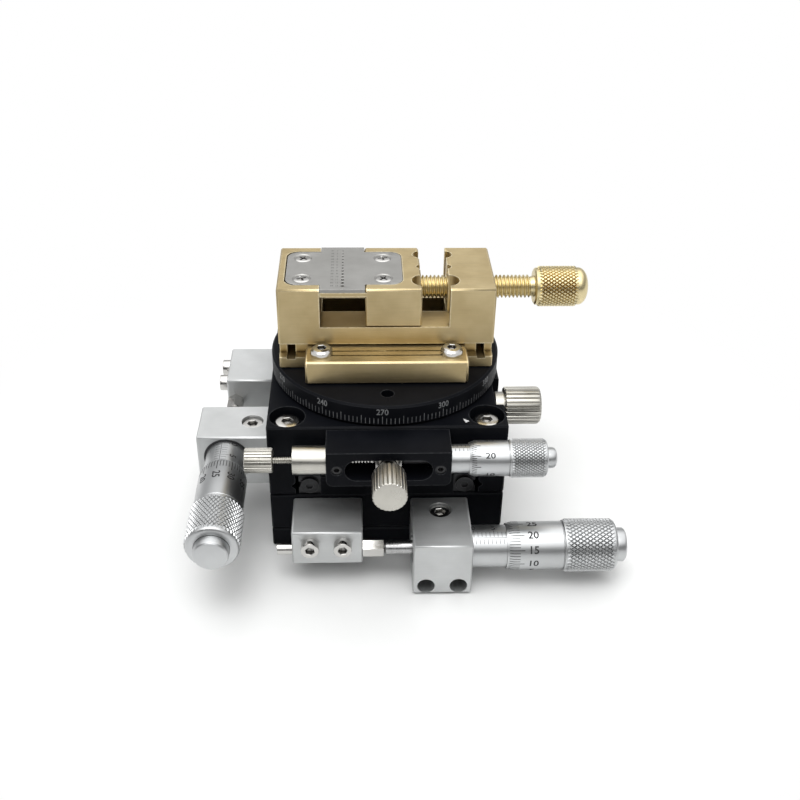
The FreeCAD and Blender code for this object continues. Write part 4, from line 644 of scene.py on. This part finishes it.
DIVISIONS = 50                  # of a thimble, one turn of which is half a millimetre
DIVISION = 360 / DIVISIONS
THIMBLE_LINES = {True: 0.1, False: 0.085}     # half width of the long lines and of the short ones
BEVEL_EDGE = 0.45               # the lines start this far from the thimble's edge
BEVEL_WALL = 0.15               # of the thimble at its edge
SLEEVE_LINE = 0.06              # half width of a sleeve's lines
DATUM_GAP = 0.3                 # between the datum line and the marks beside it
TENTH_REACH = 0.55              # that a numbered mark is longer by
SLEEVE_FIGURE = 2.4             # size of a sleeve's numbers
FIRST_MARK = 0.6                # from the sleeve's foot
HALF_MILLIMETRE = 0.5


def thimble_scale(name, bore, radius, bevel, phase, ticks, figures, size, body, matrix,
                  every=5, stretch=1.0):
    """Fifty divisions from a thimble's bevelled edge, every fifth one longer, with figures.

    phase is the zero line's angle. ticks are the ends of the short and the long lines, and
    figures the middle of the numbers, all as distances from the edge.
    """
    def surface(v):
        return radius - max(0.0, bevel - v) * (radius - bore - BEVEL_WALL) / bevel

    marks = Marks(round_place(surface))
    for division in range(DIVISIONS):
        angle = (phase - division * DIVISION) * DEGREE
        long = division % 5 == 0
        half = THIMBLE_LINES[long]
        for low, high in ((BEVEL_EDGE, bevel), (bevel, ticks[long])):
            marks.polygon([(angle * surface(v) + side * half, v)
                           for v, side in ((low, -1), (low, 1), (high, 1), (high, -1))])
        if division % every == 0:
            marks.text(str(division), size, angle * radius, figures, turned=True, stretch=stretch)
    seat(marks.piece(name, INK), matrix, body)


def sleeve_scale(name, radius, phase, length, body, matrix, upper=1.35, lower=1.2, figures=3.2):
    """Datum line with millimetre marks above it and half-millimetre marks below.

    phase is the line's angle, upper and lower are the marks' lengths, and figures is how far
    from the line the numbers stand; 0 leaves them out.
    """
    marks = Marks(round_place(radius))
    line = phase * DEGREE * radius
    marks.bar(line - SLEEVE_LINE, line + SLEEVE_LINE, FIRST_MARK / 2, length, parts=1)
    for index in range(int((length - FIRST_MARK) / HALF_MILLIMETRE) + 1):
        v = FIRST_MARK + index * HALF_MILLIMETRE
        if index % 2 == 0:
            numbered = index % 10 == 0
            inner = line - DATUM_GAP
            outer = inner - (upper + (TENTH_REACH if numbered else 0.0))
            marks.bar(outer, inner, v - SLEEVE_LINE, v + SLEEVE_LINE)
            if figures and numbered:
                marks.text(str(index // 2), SLEEVE_FIGURE, line - figures, v, turned=True)
        else:
            inner = line + DATUM_GAP
            marks.bar(inner, inner + lower, v - SLEEVE_LINE, v + SLEEVE_LINE)
    seat(marks.piece(name, INK), matrix, body)


THIMBLE_LENGTH = 30.3           # of a slide's thimble with its cap
SLEEVE_RADIUS = 5.3
SLEEVE_STEM = (3.97, 14.0)      # radius and length of the part inside the head bracket
SLEEVE_BORE = 1.8
SLEEVE_SHORT = 1.5              # that the turned sleeve ends before the CAD one
SLIDE_TRAVEL = 6.5
THIMBLE_GAP = 0.24              # between the sleeve and the thimble round it
THIMBLE_RADIUS = 6.1
THIMBLE_BEVEL = 1.6
GRIP_RADIUS = 6.65
GRIP_DEPTH = 0.3
GRIP_START = 14.3
GRIP_END = 27.6
CAP_RADIUS = 4.3


def slide_head(prefix, along, fixed_body, moving_body, zero_phase, line_phase, shift):
    """Sleeve, thimble with its knurled grip and cap, and both scales of a slide's micrometer.

    zero_phase and line_phase are the angles of the thimble's zero and of the sleeve's line, and
    shift is how far the thimble stands out from its place in the CAD.
    """
    thimble = prefix + "_thimble"
    sleeve_node = prefix + "_head_sleeve"
    index = main_axis(along)
    start = axis_point(thimble, along, "start") + Vector(along) * shift * MM
    end = start + Vector(along) * THIMBLE_LENGTH * MM
    axis = start.copy()
    axis[index] = axis_point(prefix + "_head_bracket", along, "end")[index]
    showing = (start - axis).length / MM
    sleeve_length = (axis_point(sleeve_node, along, "end") - axis).length / MM - SLEEVE_SHORT
    length = (end - start).length / MM
    fixed = axis_matrix(axis, along)
    moving = axis_matrix(start, along)

    stem, depth = SLEEVE_STEM
    sleeve = rings(prefix + "_sleeve_turned", [
        (SLEEVE_BORE, -depth), (stem, -depth), (stem, -0.02),
        (SLEEVE_RADIUS - 0.15, -0.02), (SLEEVE_RADIUS, 0.12),
        (SLEEVE_RADIUS, sleeve_length - 0.1), (SLEEVE_RADIUS - 0.1, sleeve_length),
        (SLEEVE_BORE, sleeve_length),
    ], CHROME, closed=True)
    seat(sleeve, fixed, fixed_body, (sleeve_node,))
    sleeve_scale(prefix + "_sleeve_scale", SLEEVE_RADIUS, line_phase, showing + SLIDE_TRAVEL,
                 fixed_body, fixed)
    # A thin dark ring on the bracket round the sleeve: painted shadow of the clearance there.
    painted_shadow_ring = rings(prefix + "_sleeve_painted_shadow", [(5.2, 0.0), (5.9, 0.0), (5.9, 0.04), (5.2, 0.04)],
                INK, closed=True)
    seat(painted_shadow_ring, fixed, fixed_body)

    bore = SLEEVE_RADIUS + THIMBLE_GAP
    neck = THIMBLE_RADIUS - 0.12
    root = GRIP_RADIUS - GRIP_DEPTH
    inside = GRIP_END - 2.0
    before = [
        (KNURL_CAP, inside), (bore, inside), (bore, 0.0), (bore + BEVEL_WALL, 0.0),
        (THIMBLE_RADIUS, THIMBLE_BEVEL), (THIMBLE_RADIUS, GRIP_START - 0.35),
        (neck, GRIP_START - 0.2), (neck, GRIP_START), (GRIP_RADIUS - 0.5, GRIP_START),
        (root, GRIP_START + 0.14), (root, GRIP_START + 0.4),
    ]
    band = {"radius": GRIP_RADIUS, "depth": GRIP_DEPTH, "start": GRIP_START + 0.4,
            "end": GRIP_END - 0.7, "count": 40, "rows": 15, "flat": 0.55}
    after = [
        (root, GRIP_END - 0.7), (GRIP_RADIUS - 0.34, GRIP_END - 0.55),
        (GRIP_RADIUS - 0.55, GRIP_END - 0.25), (GRIP_RADIUS - 0.9, GRIP_END - 0.05),
        (GRIP_RADIUS - 1.15, GRIP_END), (CAP_RADIUS + 0.12, GRIP_END),
        (CAP_RADIUS + 0.12, GRIP_END - 0.3), (CAP_RADIUS, GRIP_END - 0.3),
        (CAP_RADIUS, length - 0.75), (CAP_RADIUS - 0.12, length - 0.4),
        (CAP_RADIUS - 0.4, length - 0.12), (CAP_RADIUS - 0.8, length), (KNURL_CAP, length),
    ]
    shell = knurled(prefix + "_thimble_knurled", before, band, after, CHROME)
    seat(shell, moving, moving_body, (thimble,))
    thimble_scale(prefix + "_thimble_scale", bore, THIMBLE_RADIUS, THIMBLE_BEVEL, zero_phase,
                  (3.1, 4.2), 6.4, 2.75, moving_body, moving)


# The readings in the photograph: X shows 15 at 61 degrees from the top, Y shows 25 at 8.
slide_head("x", (1, 0, 0), "frame", "x_micrometer", 61 + 15 * DIVISION, 27, -0.6)
slide_head("y", (0, -1, 0), "x_stage", "y_micrometer", 8 + 25 * DIVISION, 8, 0.9)

FINE_EXTRA = 0.7                # that the small thimble is longer than its CAD node
FINE_SLEEVE_RADIUS = 3.55
FINE_SLEEVE_STEM = (2.43, 4.2)
FINE_SLEEVE_BORE = 1.3
FINE_SLEEVE_LENGTH = 17.9
FINE_RADIUS = 4.45
FINE_BEVEL = 1.2
FINE_GRIP_RADIUS = 4.82
FINE_GRIP_DEPTH = 0.26
FINE_GRIP_START = 9.8
FINE_GRIP_END = 19.1
FINE_CAP_RADIUS = 2.6


def fine_head():
    """The small micrometer of the fine drive."""
    along = (1, 0, 0)
    start = axis_point("theta_thimble", along, "start")
    end = axis_point("theta_thimble", along, "end")
    axis = start.copy()
    axis.x = axis_point("fine_block", along, "end").x
    length = (end - start).length / MM + FINE_EXTRA
    fixed = axis_matrix(axis, along)
    moving = axis_matrix(start, along)

    stem, depth = FINE_SLEEVE_STEM
    sleeve = rings("theta_sleeve_turned", [
        (FINE_SLEEVE_BORE, -depth), (stem, -depth), (stem, 0.0),
        (FINE_SLEEVE_RADIUS - 0.12, 0.0), (FINE_SLEEVE_RADIUS, 0.12),
        (FINE_SLEEVE_RADIUS, FINE_SLEEVE_LENGTH - 0.1),
        (FINE_SLEEVE_RADIUS - 0.1, FINE_SLEEVE_LENGTH), (FINE_SLEEVE_BORE, FINE_SLEEVE_LENGTH),
    ], CHROME, closed=True)
    seat(sleeve, fixed, "y_stage", ("theta_sleeve",))
    sleeve_scale("theta_sleeve_scale", FINE_SLEEVE_RADIUS, 5, 8.0, "y_stage", fixed,
                 upper=1.0, lower=0.9, figures=0)

    bore = FINE_SLEEVE_RADIUS + 0.2
    neck = FINE_RADIUS - 0.1
    root = FINE_GRIP_RADIUS - FINE_GRIP_DEPTH
    inside = FINE_GRIP_END - 2.3
    before = [
        (KNURL_CAP, inside), (bore, inside), (bore, 0.0), (bore + BEVEL_WALL, 0.0),
        (FINE_RADIUS, FINE_BEVEL), (FINE_RADIUS, FINE_GRIP_START - 0.3),
        (neck, FINE_GRIP_START - 0.18), (neck, FINE_GRIP_START), (root - 0.05, FINE_GRIP_START),
        (root, FINE_GRIP_START + 0.1), (root, FINE_GRIP_START + 0.35),
    ]
    band = {"radius": FINE_GRIP_RADIUS, "depth": FINE_GRIP_DEPTH, "start": FINE_GRIP_START + 0.35,
            "end": FINE_GRIP_END - 0.5, "count": 40, "rows": 15, "flat": 0.5}
    after = [
        (root, FINE_GRIP_END - 0.5), (root - 0.05, FINE_GRIP_END - 0.3),
        (root - 0.3, FINE_GRIP_END - 0.08), (root - 0.6, FINE_GRIP_END),
        (FINE_CAP_RADIUS + 0.1, FINE_GRIP_END), (FINE_CAP_RADIUS + 0.1, FINE_GRIP_END - 0.2),
        (FINE_CAP_RADIUS, FINE_GRIP_END - 0.2), (FINE_CAP_RADIUS, length - 1.1),
        (FINE_CAP_RADIUS - 0.2, length - 0.55), (FINE_CAP_RADIUS - 0.75, length - 0.16),
        (FINE_CAP_RADIUS - 1.4, length), (KNURL_CAP, length),
    ]
    shell = knurled("theta_thimble_knurled", before, band, after, CHROME)
    seat(shell, moving, "theta_drum", ("theta_thimble",))
    thimble_scale("theta_thimble_scale", bore, FINE_RADIUS, FINE_BEVEL, 46.5 + 20 * DIVISION,
                  (1.6, 2.6), 4.9, 2.0, "theta_drum", moving, every=10, stretch=1.25)


fine_head()


# ------------ fluted knobs

KNOB_STEPS = 264                # a multiple of every knob's number of flutes but one
KNOB_SHARP = 24


def knob(node, along, body, outline):
    """Straight-knurled knob replacing a CAD node; the outline starts at the node's first end."""
    piece = rings(node + "_knurled", outline, NICKEL, KNOB_STEPS, KNOB_SHARP)
    seat(piece, axis_matrix(axis_point(node, along, "start"), along), body, (node,))


def fluted_run(radius, depth, count, start, end, round_start, round_end):
    """Rings of a fluted cylinder with rounded ends, at which the flutes run out."""
    run = []
    for t in (0.0, 0.35, 0.75, 1.0):
        inset = round_start * (1 - math.sin(t * QUARTER))
        run.append((fluted(radius - inset, depth * min(1.0, 0.3 + t), count),
                    start + round_start * (1 - math.cos(t * QUARTER))))
    for t in (0.0, 0.3, 0.65, 1.0):
        inset = round_end * (1 - math.cos(t * QUARTER))
        run.append((fluted(radius - inset, depth * (1 - t * 0.8), count),
                    end - round_end * (1 - math.sin(t * QUARTER))))
    return run


def clamp_thumbscrew(node="clamp_thumbscrew", along=(0, -1, 0)):
    length = node_length(node, along)
    knob_start = length - 8.4
    collar_start = knob_start - 3.4
    knob(node, along, "arm_clamp", [
        (AXIS, 0.05), (1.35, 0.05), (1.5, 0.2), (1.5, collar_start), (2.2, collar_start),
        (2.2, knob_start), *fluted_run(4.2, 0.3, 24, knob_start, length, 0.5, 0.5), (AXIS, length),
    ])


def lock_screw(node="lock_screw", along=(1, 0, 0)):
    length = node_length(node, along)
    knob_start = length - 9.5
    knob(node, along, "lock", [
        (AXIS, 0.0), (1.35, 0.0), (1.5, 0.15), (1.5, 4.8), (3.5, 4.8), (3.6, 4.9),
        (3.6, knob_start), *fluted_run(4.9, 0.36, 26, knob_start, length, 0.6, 1.1),
        (AXIS, length),
    ])


def preload_screw(node="preload_screw", along=(-1, 0, 0)):
    """Knob and collar in one piece, with a threaded rod between them."""
    length = node_length(node, along)
    knob_start = length - 6.9
    rod_start = 0.6
    core = 0.72
    knob(node, along, "preload", [
        (AXIS, 0.0), (1.75, 0.0), (1.75, rod_start), (core, rod_start), (core, knob_start),
        *fluted_run(3.1, 0.26, 22, knob_start, length, 0.35, 0.4), (AXIS, length),
    ])
    rod = thread("preload_thread", 0.9, 0.16, 0.45, rod_start, knob_start, NICKEL, steps=32)
    seat(rod, axis_matrix(axis_point(node, along, "start"), along), "preload")


clamp_thumbscrew()
lock_screw()
preload_screw()


# ------------ vise screw

VISE_KNOB_LENGTH = 14.0
VISE_KNOB_RADIUS = 5.2
VISE_KNURL_DEPTH = 0.42
VISE_THREAD_RADIUS = 3.0
VISE_THREAD_DEPTH = 0.6
VISE_PITCH = 1.0
VISE_THREAD_START = 3.0
VISE_DOME = 2.5                 # length of the knob's rounded end
DOME_STEPS = 9


def vise_screw(node="vise_screw", along=(1, 0, 0)):
    """Threaded screw, whose tip turns in the jaw, and its diamond-knurled knob with a dome."""
    length = node_length(node, along)
    knob_start = length - VISE_KNOB_LENGTH
    matrix = axis_matrix(axis_point(node, along, "start"), along)
    thread_end = knob_start - 0.6
    threaded = thread("vise_screw_thread", VISE_THREAD_RADIUS, VISE_THREAD_DEPTH, VISE_PITCH,
                      VISE_THREAD_START, thread_end, GOLD, steps=56)
    seat(threaded, matrix, "vise_drive")
    core = 2.38
    root = VISE_KNOB_RADIUS - VISE_KNURL_DEPTH
    before = [
        (KNURL_CAP, 0.0), (2.6, 0.0), (2.6, 1.3), (1.9, 1.3), (1.9, VISE_THREAD_START),
        (core, VISE_THREAD_START), (core, knob_start - 1.2), (2.6, thread_end),
        (2.75, knob_start), (root - 0.5, knob_start), (root, knob_start + 0.35),
        (root, knob_start + 0.9),
    ]
    band = {"radius": VISE_KNOB_RADIUS, "depth": VISE_KNURL_DEPTH, "start": knob_start + 0.9,
            "end": length - 3.0, "count": 34, "rows": 14, "flat": 0.5}
    dome = root + 0.04
    dome_start = length - VISE_DOME
    after = [(root, length - 3.0), (dome, dome_start)]
    for t in range(1, DOME_STEPS + 1):
        angle = t / DOME_STEPS * QUARTER
        radius = max(dome * math.cos(angle) ** 0.8, KNURL_CAP)
        after.append((radius, dome_start + VISE_DOME * math.sin(angle)))
    piece = knurled("vise_screw_knurled", before, band, after, GOLD)
    seat(piece, matrix, "vise_drive", (node,))


vise_screw()


# ------------ screws

SCREW_SHARP = 28
SCREW_TURNS = (12, 40, -8, 27)


def socket_head(radius, height, socket, depth, rounding, shank, length):
    """Outline of a socket screw from its tip up over its head and down into the socket.

    The head's foot is at 0. radius, height and rounding are the head's, socket is the corner
    radius of the hexagon, and shank and length are the shank's.
    """
    floor = height - depth
    run = [(AXIS, -length), (shank - 0.2, -length), (shank, -length + 0.2), (shank, 0.0),
           (radius - 0.08, 0.0), (radius, 0.1)]
    for t in (0.0, 0.35, 0.7, 1.0):
        angle = t * QUARTER
        run.append((radius - rounding * (1 - math.cos(angle)),
                    height - rounding * (1 - math.sin(angle))))
    run += [(hexagon(socket + 0.12), height), (hexagon(socket), height - 0.12),
            (hexagon(socket), floor), (socket * 0.3, floor - 0.25), (AXIS, floor - 0.25)]
    return run


def oval_head():
    """Outline of a raised countersunk screw with a cross recess; 0 is the plate's underside."""
    rim = 0.7
    top = 0.88
    rim_radius = 2.06
    run = [(AXIS, -1.1), (0.7, -1.1), (0.88, -0.95), (0.88, -0.02), (1.28, 0.0), (2.02, 0.66),
           (rim_radius, rim)]
    for t in (0.25, 0.5, 0.75):
        run.append((rim_radius - 0.66 * t, rim + (top - rim) * math.sin(t * QUARTER)))
    run += [(cross(1.28, 0.3), top), (cross(1.22, 0.25), top - 0.08),
            (cross(0.8, 0.2), top - 0.6), (0.15, top - 0.75), (AXIS, top - 0.75)]
    return run


def screws(label, node, places, along, body, outline, turns=SCREW_TURNS):
    """One stainless screw at each place, each turned a little differently."""
    for index, place in enumerate(places):
        piece = rings(f"{label}_{index + 1}", outline, STAINLESS, sharp=SCREW_SHARP)
        matrix = axis_matrix(place, along) @ Matrix.Rotation(turns[index] * DEGREE, 4, "Z")
        seat(piece, matrix, body, (node,) if index == 0 else ())


def top_screws(label, node, radius, height, body, outline, turns=SCREW_TURNS):
    """Upright screws in the corners of a node's box, given its heads' radius and height."""
    low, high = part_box(node)
    inset = radius * MM
    level = high.z - height * MM
    places = [Vector((x, y, level)) for x in (low.x + inset, high.x - inset)
              for y in (low.y + inset, high.y - inset)]
    screws(label, node, places, (0, 0, 1), body, outline, turns)


def anvil_screws(prefix, along, body):
    """Two screws side by side in the face of an anvil bracket."""
    node = prefix + "_anvil_screws"
    radius = 2.25
    height = 2.4
    low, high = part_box(node)
    front = main_axis(along)
    side = 1 - front
    places = []
    for across in (low[side] + radius * MM, high[side] - radius * MM):
        place = centre(node)
        place[front] = low[front] + height * MM
        place[side] = across
        places.append(place)
    outline = socket_head(radius, height, 1.2, 1.3, 0.25, 1.25, 19.5)
    screws(prefix + "_anvil_screw", node, places, along, body, outline)


def head_clamp_screw(prefix, body):
    """The screw that pinches a head bracket on its sleeve."""
    node = prefix + "_head_clamp_screw"
    height = 2.6
    place = centre(node)
    place.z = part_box(node)[1].z - height * MM
    screws(prefix + "_clamp_screw", node, [place], (0, 0, 1), body,
           socket_head(2.78, height, 1.4, 1.4, 0.35, 1.5, 8.0))


top_screws("corner_screw", "corner_screws", 3.4, 2.0, "y_stage",
           socket_head(3.4, 2.0, 1.45, 1.2, 1.0, 2.0, 10.2))
top_screws("clamp_bar_screw", "clamp_bar_screws", 2.65, 1.7, "table",
           socket_head(2.85, 1.75, 1.2, 1.0, 1.25, 1.5, 10.6))
top_screws("plate_screw", "plate_screws", 2.3, 0.9, "jaw", oval_head(), (20, -35, 48, 10))
anvil_screws("x", (0, -1, 0), "x_stage")
anvil_screws("y", (-1, 0, 0), "y_stage")
head_clamp_screw("x", "frame")
head_clamp_screw("y", "x_stage")


# ------------ dial, index and small marks

DIAL_TURN = 2.6                 # degrees that the photograph's table is turned back by
DIAL_WALL = 5.7                 # height of the table's wall, which carries the dial
INDEX_ANGLE = -54.6
INDEX_TIP = 32.5                # distances of the index mark's ends from the table's axis
INDEX_FOOT = 34.3
INDEX_HALF = 0.62
HOLE_COUNT = 13                 # graded holes in the gauge plate
HOLE_PITCH = 1.65
LARGEST_HOLE = 0.42             # radius
HOLE_STEP = 0.022               # that each hole's radius is less by


def dial():
    """Lines every two degrees round the table's wall, with figures every thirty."""
    low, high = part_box("rotary_table")
    radius = (high.x - low.x) / 2 / MM
    foot = high.z / MM - DIAL_WALL
    marks = Marks(round_place(radius))
    half = 0.08
    for degree in range(0, 360, 2):
        u = (degree - DIAL_TURN) * DEGREE * radius
        marks.bar(u - half, u + half, 0.6, 2.9 if degree % 10 == 0 else 2.3, parts=1)
        if degree % 30 == 0:
            marks.text(str(degree), 2.35, u, 4.05, stretch=0.85)
    seat(marks.piece("dial_scale", WHITE), Matrix.Translation(Vector((0, 0, foot * MM))), "table")


def flat_place(origin):
    """A level surface at this height: u runs along X and v along Y from the origin."""
    def place(u, v):
        return (origin.x / MM + u, origin.y / MM + v, origin.z / MM + LIFT)
    return place


def index_mark():
    """White wedge on the rotary base that points at the dial."""
    marks = Marks(flat_place(Vector((0, 0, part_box("rotary_base")[1].z))))
    angle = INDEX_ANGLE * DEGREE
    inward = Vector((math.cos(angle), math.sin(angle)))
    side = Vector((-inward.y, inward.x)) * INDEX_HALF
    foot = inward * INDEX_FOOT
    marks.polygon([tuple(c) for c in (inward * INDEX_TIP, foot - side, foot + side)])
    seat(marks.piece("index_mark", INDEX), Matrix(), "y_stage")


def gauge_figures():
    """Each graded hole's diameter in hundredths and its number, etched beside it."""
    middle = centre("gauge_plate")
    middle.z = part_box("gauge_plate")[1].z
    marks = Marks(flat_place(middle))
    for index in range(HOLE_COUNT):
        v = (index - HOLE_COUNT // 2) * HOLE_PITCH
        diameter = 2 * (LARGEST_HOLE - index * HOLE_STEP)
        for words, u in ((str(round(diameter * 100)), -3.05), (str(HOLE_COUNT - index), -1.85)):
            marks.text(words, 1.05, u, v, stretch=0.75)
    seat(marks.piece("gauge_figures", ETCH), Matrix(), "jaw")


dial()
index_mark()
gauge_figures()


# ------------ plunger pin

PIN_RADIUS = 1.22
PIN_GROOVE = 0.9
PIN_PITCH = 0.75


def plunger_pin(node="plunger_pin", along=(1, 0, 0)):
    """The spring plunger's pin, finely grooved where it shows in the fine drive's slot."""
    tip = node_length(node, along)
    run = [(AXIS, 0.0), (1.75, 0.0), (1.75, 0.8), (0.85, 0.8), (0.85, 7.9), (PIN_RADIUS, 8.6)]
    at = 8.8
    while at < tip - 1.3:
        run += [(PIN_RADIUS, at), (PIN_RADIUS, at + 0.3), (PIN_GROOVE, at + 0.5),
                (PIN_GROOVE, at + 0.55)]
        at += PIN_PITCH
    run += [(PIN_RADIUS, at), (PIN_RADIUS, tip - 0.35), (PIN_GROOVE, tip), (AXIS, tip)]
    piece = rings("plunger_pin_turned", run, STAINLESS, steps=64)
    seat(piece, axis_matrix(axis_point(node, along, "start"), along), "plunger",
         (node,))


plunger_pin()


# ------------ floor, light and camera

FLOOR_HALF = 20.0               # metres
FLOOR_DROP = 0.05
FLOOR_GRAIN = 0.02
GLOW_RANGE = (0.065, 0.14)      # metres from the middle over which the floor turns white
ROOM_LOW = (0.4, 0.4, 0.405)
ROOM_HIGH = (1.75, 1.75, 1.75)
ROOM_RANGE = (0.4, 0.9)         # heights over which the room brightens
FRONT_RANGE = (-0.95, 0.3)      # from the front, which is dim, to the back
FRONT_DIM = 0.2
BACK_BRIGHT = 1.15
SOFTBOX = 1.4
SOFTBOX_TOWARDS = (0.05, -0.56, 0.83)
SOFTBOX_RANGE = (0.84, 0.94)    # cosines of the angles of its outer and its inner edge


def floor():
    """Pale floor that holds the object's shadow and is white to the eye farther out."""
    half = FLOOR_HALF
    mesh = bpy.data.meshes.new("floor")
    corners = [(-half, -half, 0), (half, -half, 0), (half, half, 0), (-half, half, 0)]
    mesh.from_pydata(corners, [], [(0, 1, 2, 3)])
    item = bpy.data.objects.new("floor", mesh)
    bpy.context.scene.collection.objects.link(item)
    material, tree, surface = shader("pale_floor")
    surface.inputs["Roughness"].default_value = 0.3
    cloud = ramp(tree, grain(tree, (FLOOR_GRAIN,) * 3), (0.73, 0.735, 0.73), (0.8, 0.805, 0.8))
    tree.links.new(cloud, surface.inputs["Base Color"])
    glow = add(tree, "ShaderNodeEmission")
    glow.inputs["Strength"].default_value = 1.0
    path = add(tree, "ShaderNodeLightPath")
    place = add(tree, "ShaderNodeTexCoord")
    length = add(tree, "ShaderNodeVectorMath", operation="LENGTH")
    tree.links.new(place.outputs["Object"], length.inputs[0])
    far = remap(tree, length.outputs["Value"], GLOW_RANGE, smooth=True)
    looked = path.outputs["Is Camera Ray"]
    for kind in ("Is Glossy Ray", "Is Transmission Ray"):
        looked = combine(tree, "MAXIMUM", looked, path.outputs[kind])
    mix = add(tree, "ShaderNodeMixShader")
    tree.links.new(combine(tree, "MULTIPLY", far, looked), mix.inputs["Fac"])
    tree.links.new(surface.outputs["BSDF"], mix.inputs[1])
    tree.links.new(glow.outputs["Emission"], mix.inputs[2])
    tree.links.new(mix.outputs["Shader"], tree.nodes["Material Output"].inputs["Surface"])
    mesh.materials.append(material)
    item.location.z = -FLOOR_DROP * MM


def world():
    """A grey room, dim in front, under one large soft light overhead and a little in front."""
    scene = bpy.context.scene
    scene.world = bpy.data.worlds.new("studio")
    scene.world.use_nodes = True
    tree = scene.world.node_tree
    background = tree.nodes["Background"]
    place = add(tree, "ShaderNodeTexCoord")
    split = add(tree, "ShaderNodeSeparateXYZ")
    tree.links.new(place.outputs["Generated"], split.inputs["Vector"])
    room = ramp(tree, split.outputs["Z"], ROOM_LOW, ROOM_HIGH, *ROOM_RANGE)
    front = remap(tree, split.outputs["Y"], FRONT_RANGE, FRONT_DIM, BACK_BRIGHT)
    toward = add(tree, "ShaderNodeVectorMath", operation="DOT_PRODUCT")
    tree.links.new(place.outputs["Generated"], toward.inputs[0])
    toward.inputs[1].default_value = Vector(SOFTBOX_TOWARDS).normalized()
    softbox = remap(tree, toward.outputs["Value"], SOFTBOX_RANGE, 0.0, SOFTBOX, smooth=True)
    total = combine(tree, "ADD", combine(tree, "MULTIPLY", room, front), softbox)
    tree.links.new(total, background.inputs["Color"])
    background.inputs["Strength"].default_value = 1.0


def lamp(name, place, target, size, power):
    """Rectangular lamp at a place, aimed at a target, in metres and watts."""
    data = bpy.data.lights.new(name, "AREA")
    data.shape = "RECTANGLE"
    data.size, data.size_y = size
    data.energy = power
    item = bpy.data.objects.new(name, data)
    bpy.context.scene.collection.objects.link(item)
    item.location = place
    direction = Vector(target) - Vector(place)
    item.rotation_euler = direction.to_track_quat("-Z", "Y").to_euler()


# The photograph's camera, as fitted to the corners of the stage.
EYE = (-7.10, -242.47, 187.05)
TILT = 33.581                   # degrees down from level
HEADING = 2.682                 # degrees to the right of straight ahead
ROLL = -1.048
LENS = 47.47
SENSOR = 36


def camera():
    """Camera looking down at the stage from the front."""
    data = bpy.data.cameras.new("camera")
    data.sensor_width = SENSOR
    data.lens = LENS
    data.clip_start = 0.01
    item = bpy.data.objects.new("camera", data)
    bpy.context.scene.collection.objects.link(item)
    tilt, heading, roll = (math.radians(a) for a in (TILT, HEADING, ROLL))
    level = math.cos(tilt)
    forward = Vector((math.sin(heading) * level, math.cos(heading) * level, -math.sin(tilt)))
    right = Vector((math.cos(heading), -math.sin(heading), 0))
    down = forward.cross(right)
    across = right * math.cos(roll) + down * math.sin(roll)
    below = down * math.cos(roll) - right * math.sin(roll)
    turned = Matrix((across, -below, -forward)).transposed().to_4x4()
    item.matrix_world = Matrix.Translation(Vector(EYE) * MM) @ turned
    bpy.context.scene.camera = item


floor()
world()
lamp("overhead", (-0.15, -0.2, 0.8), (0, 0, 0.03), (0.5, 0.4), 2.2)
camera()
bpy.context.scene.view_settings.view_transform = "Standard"
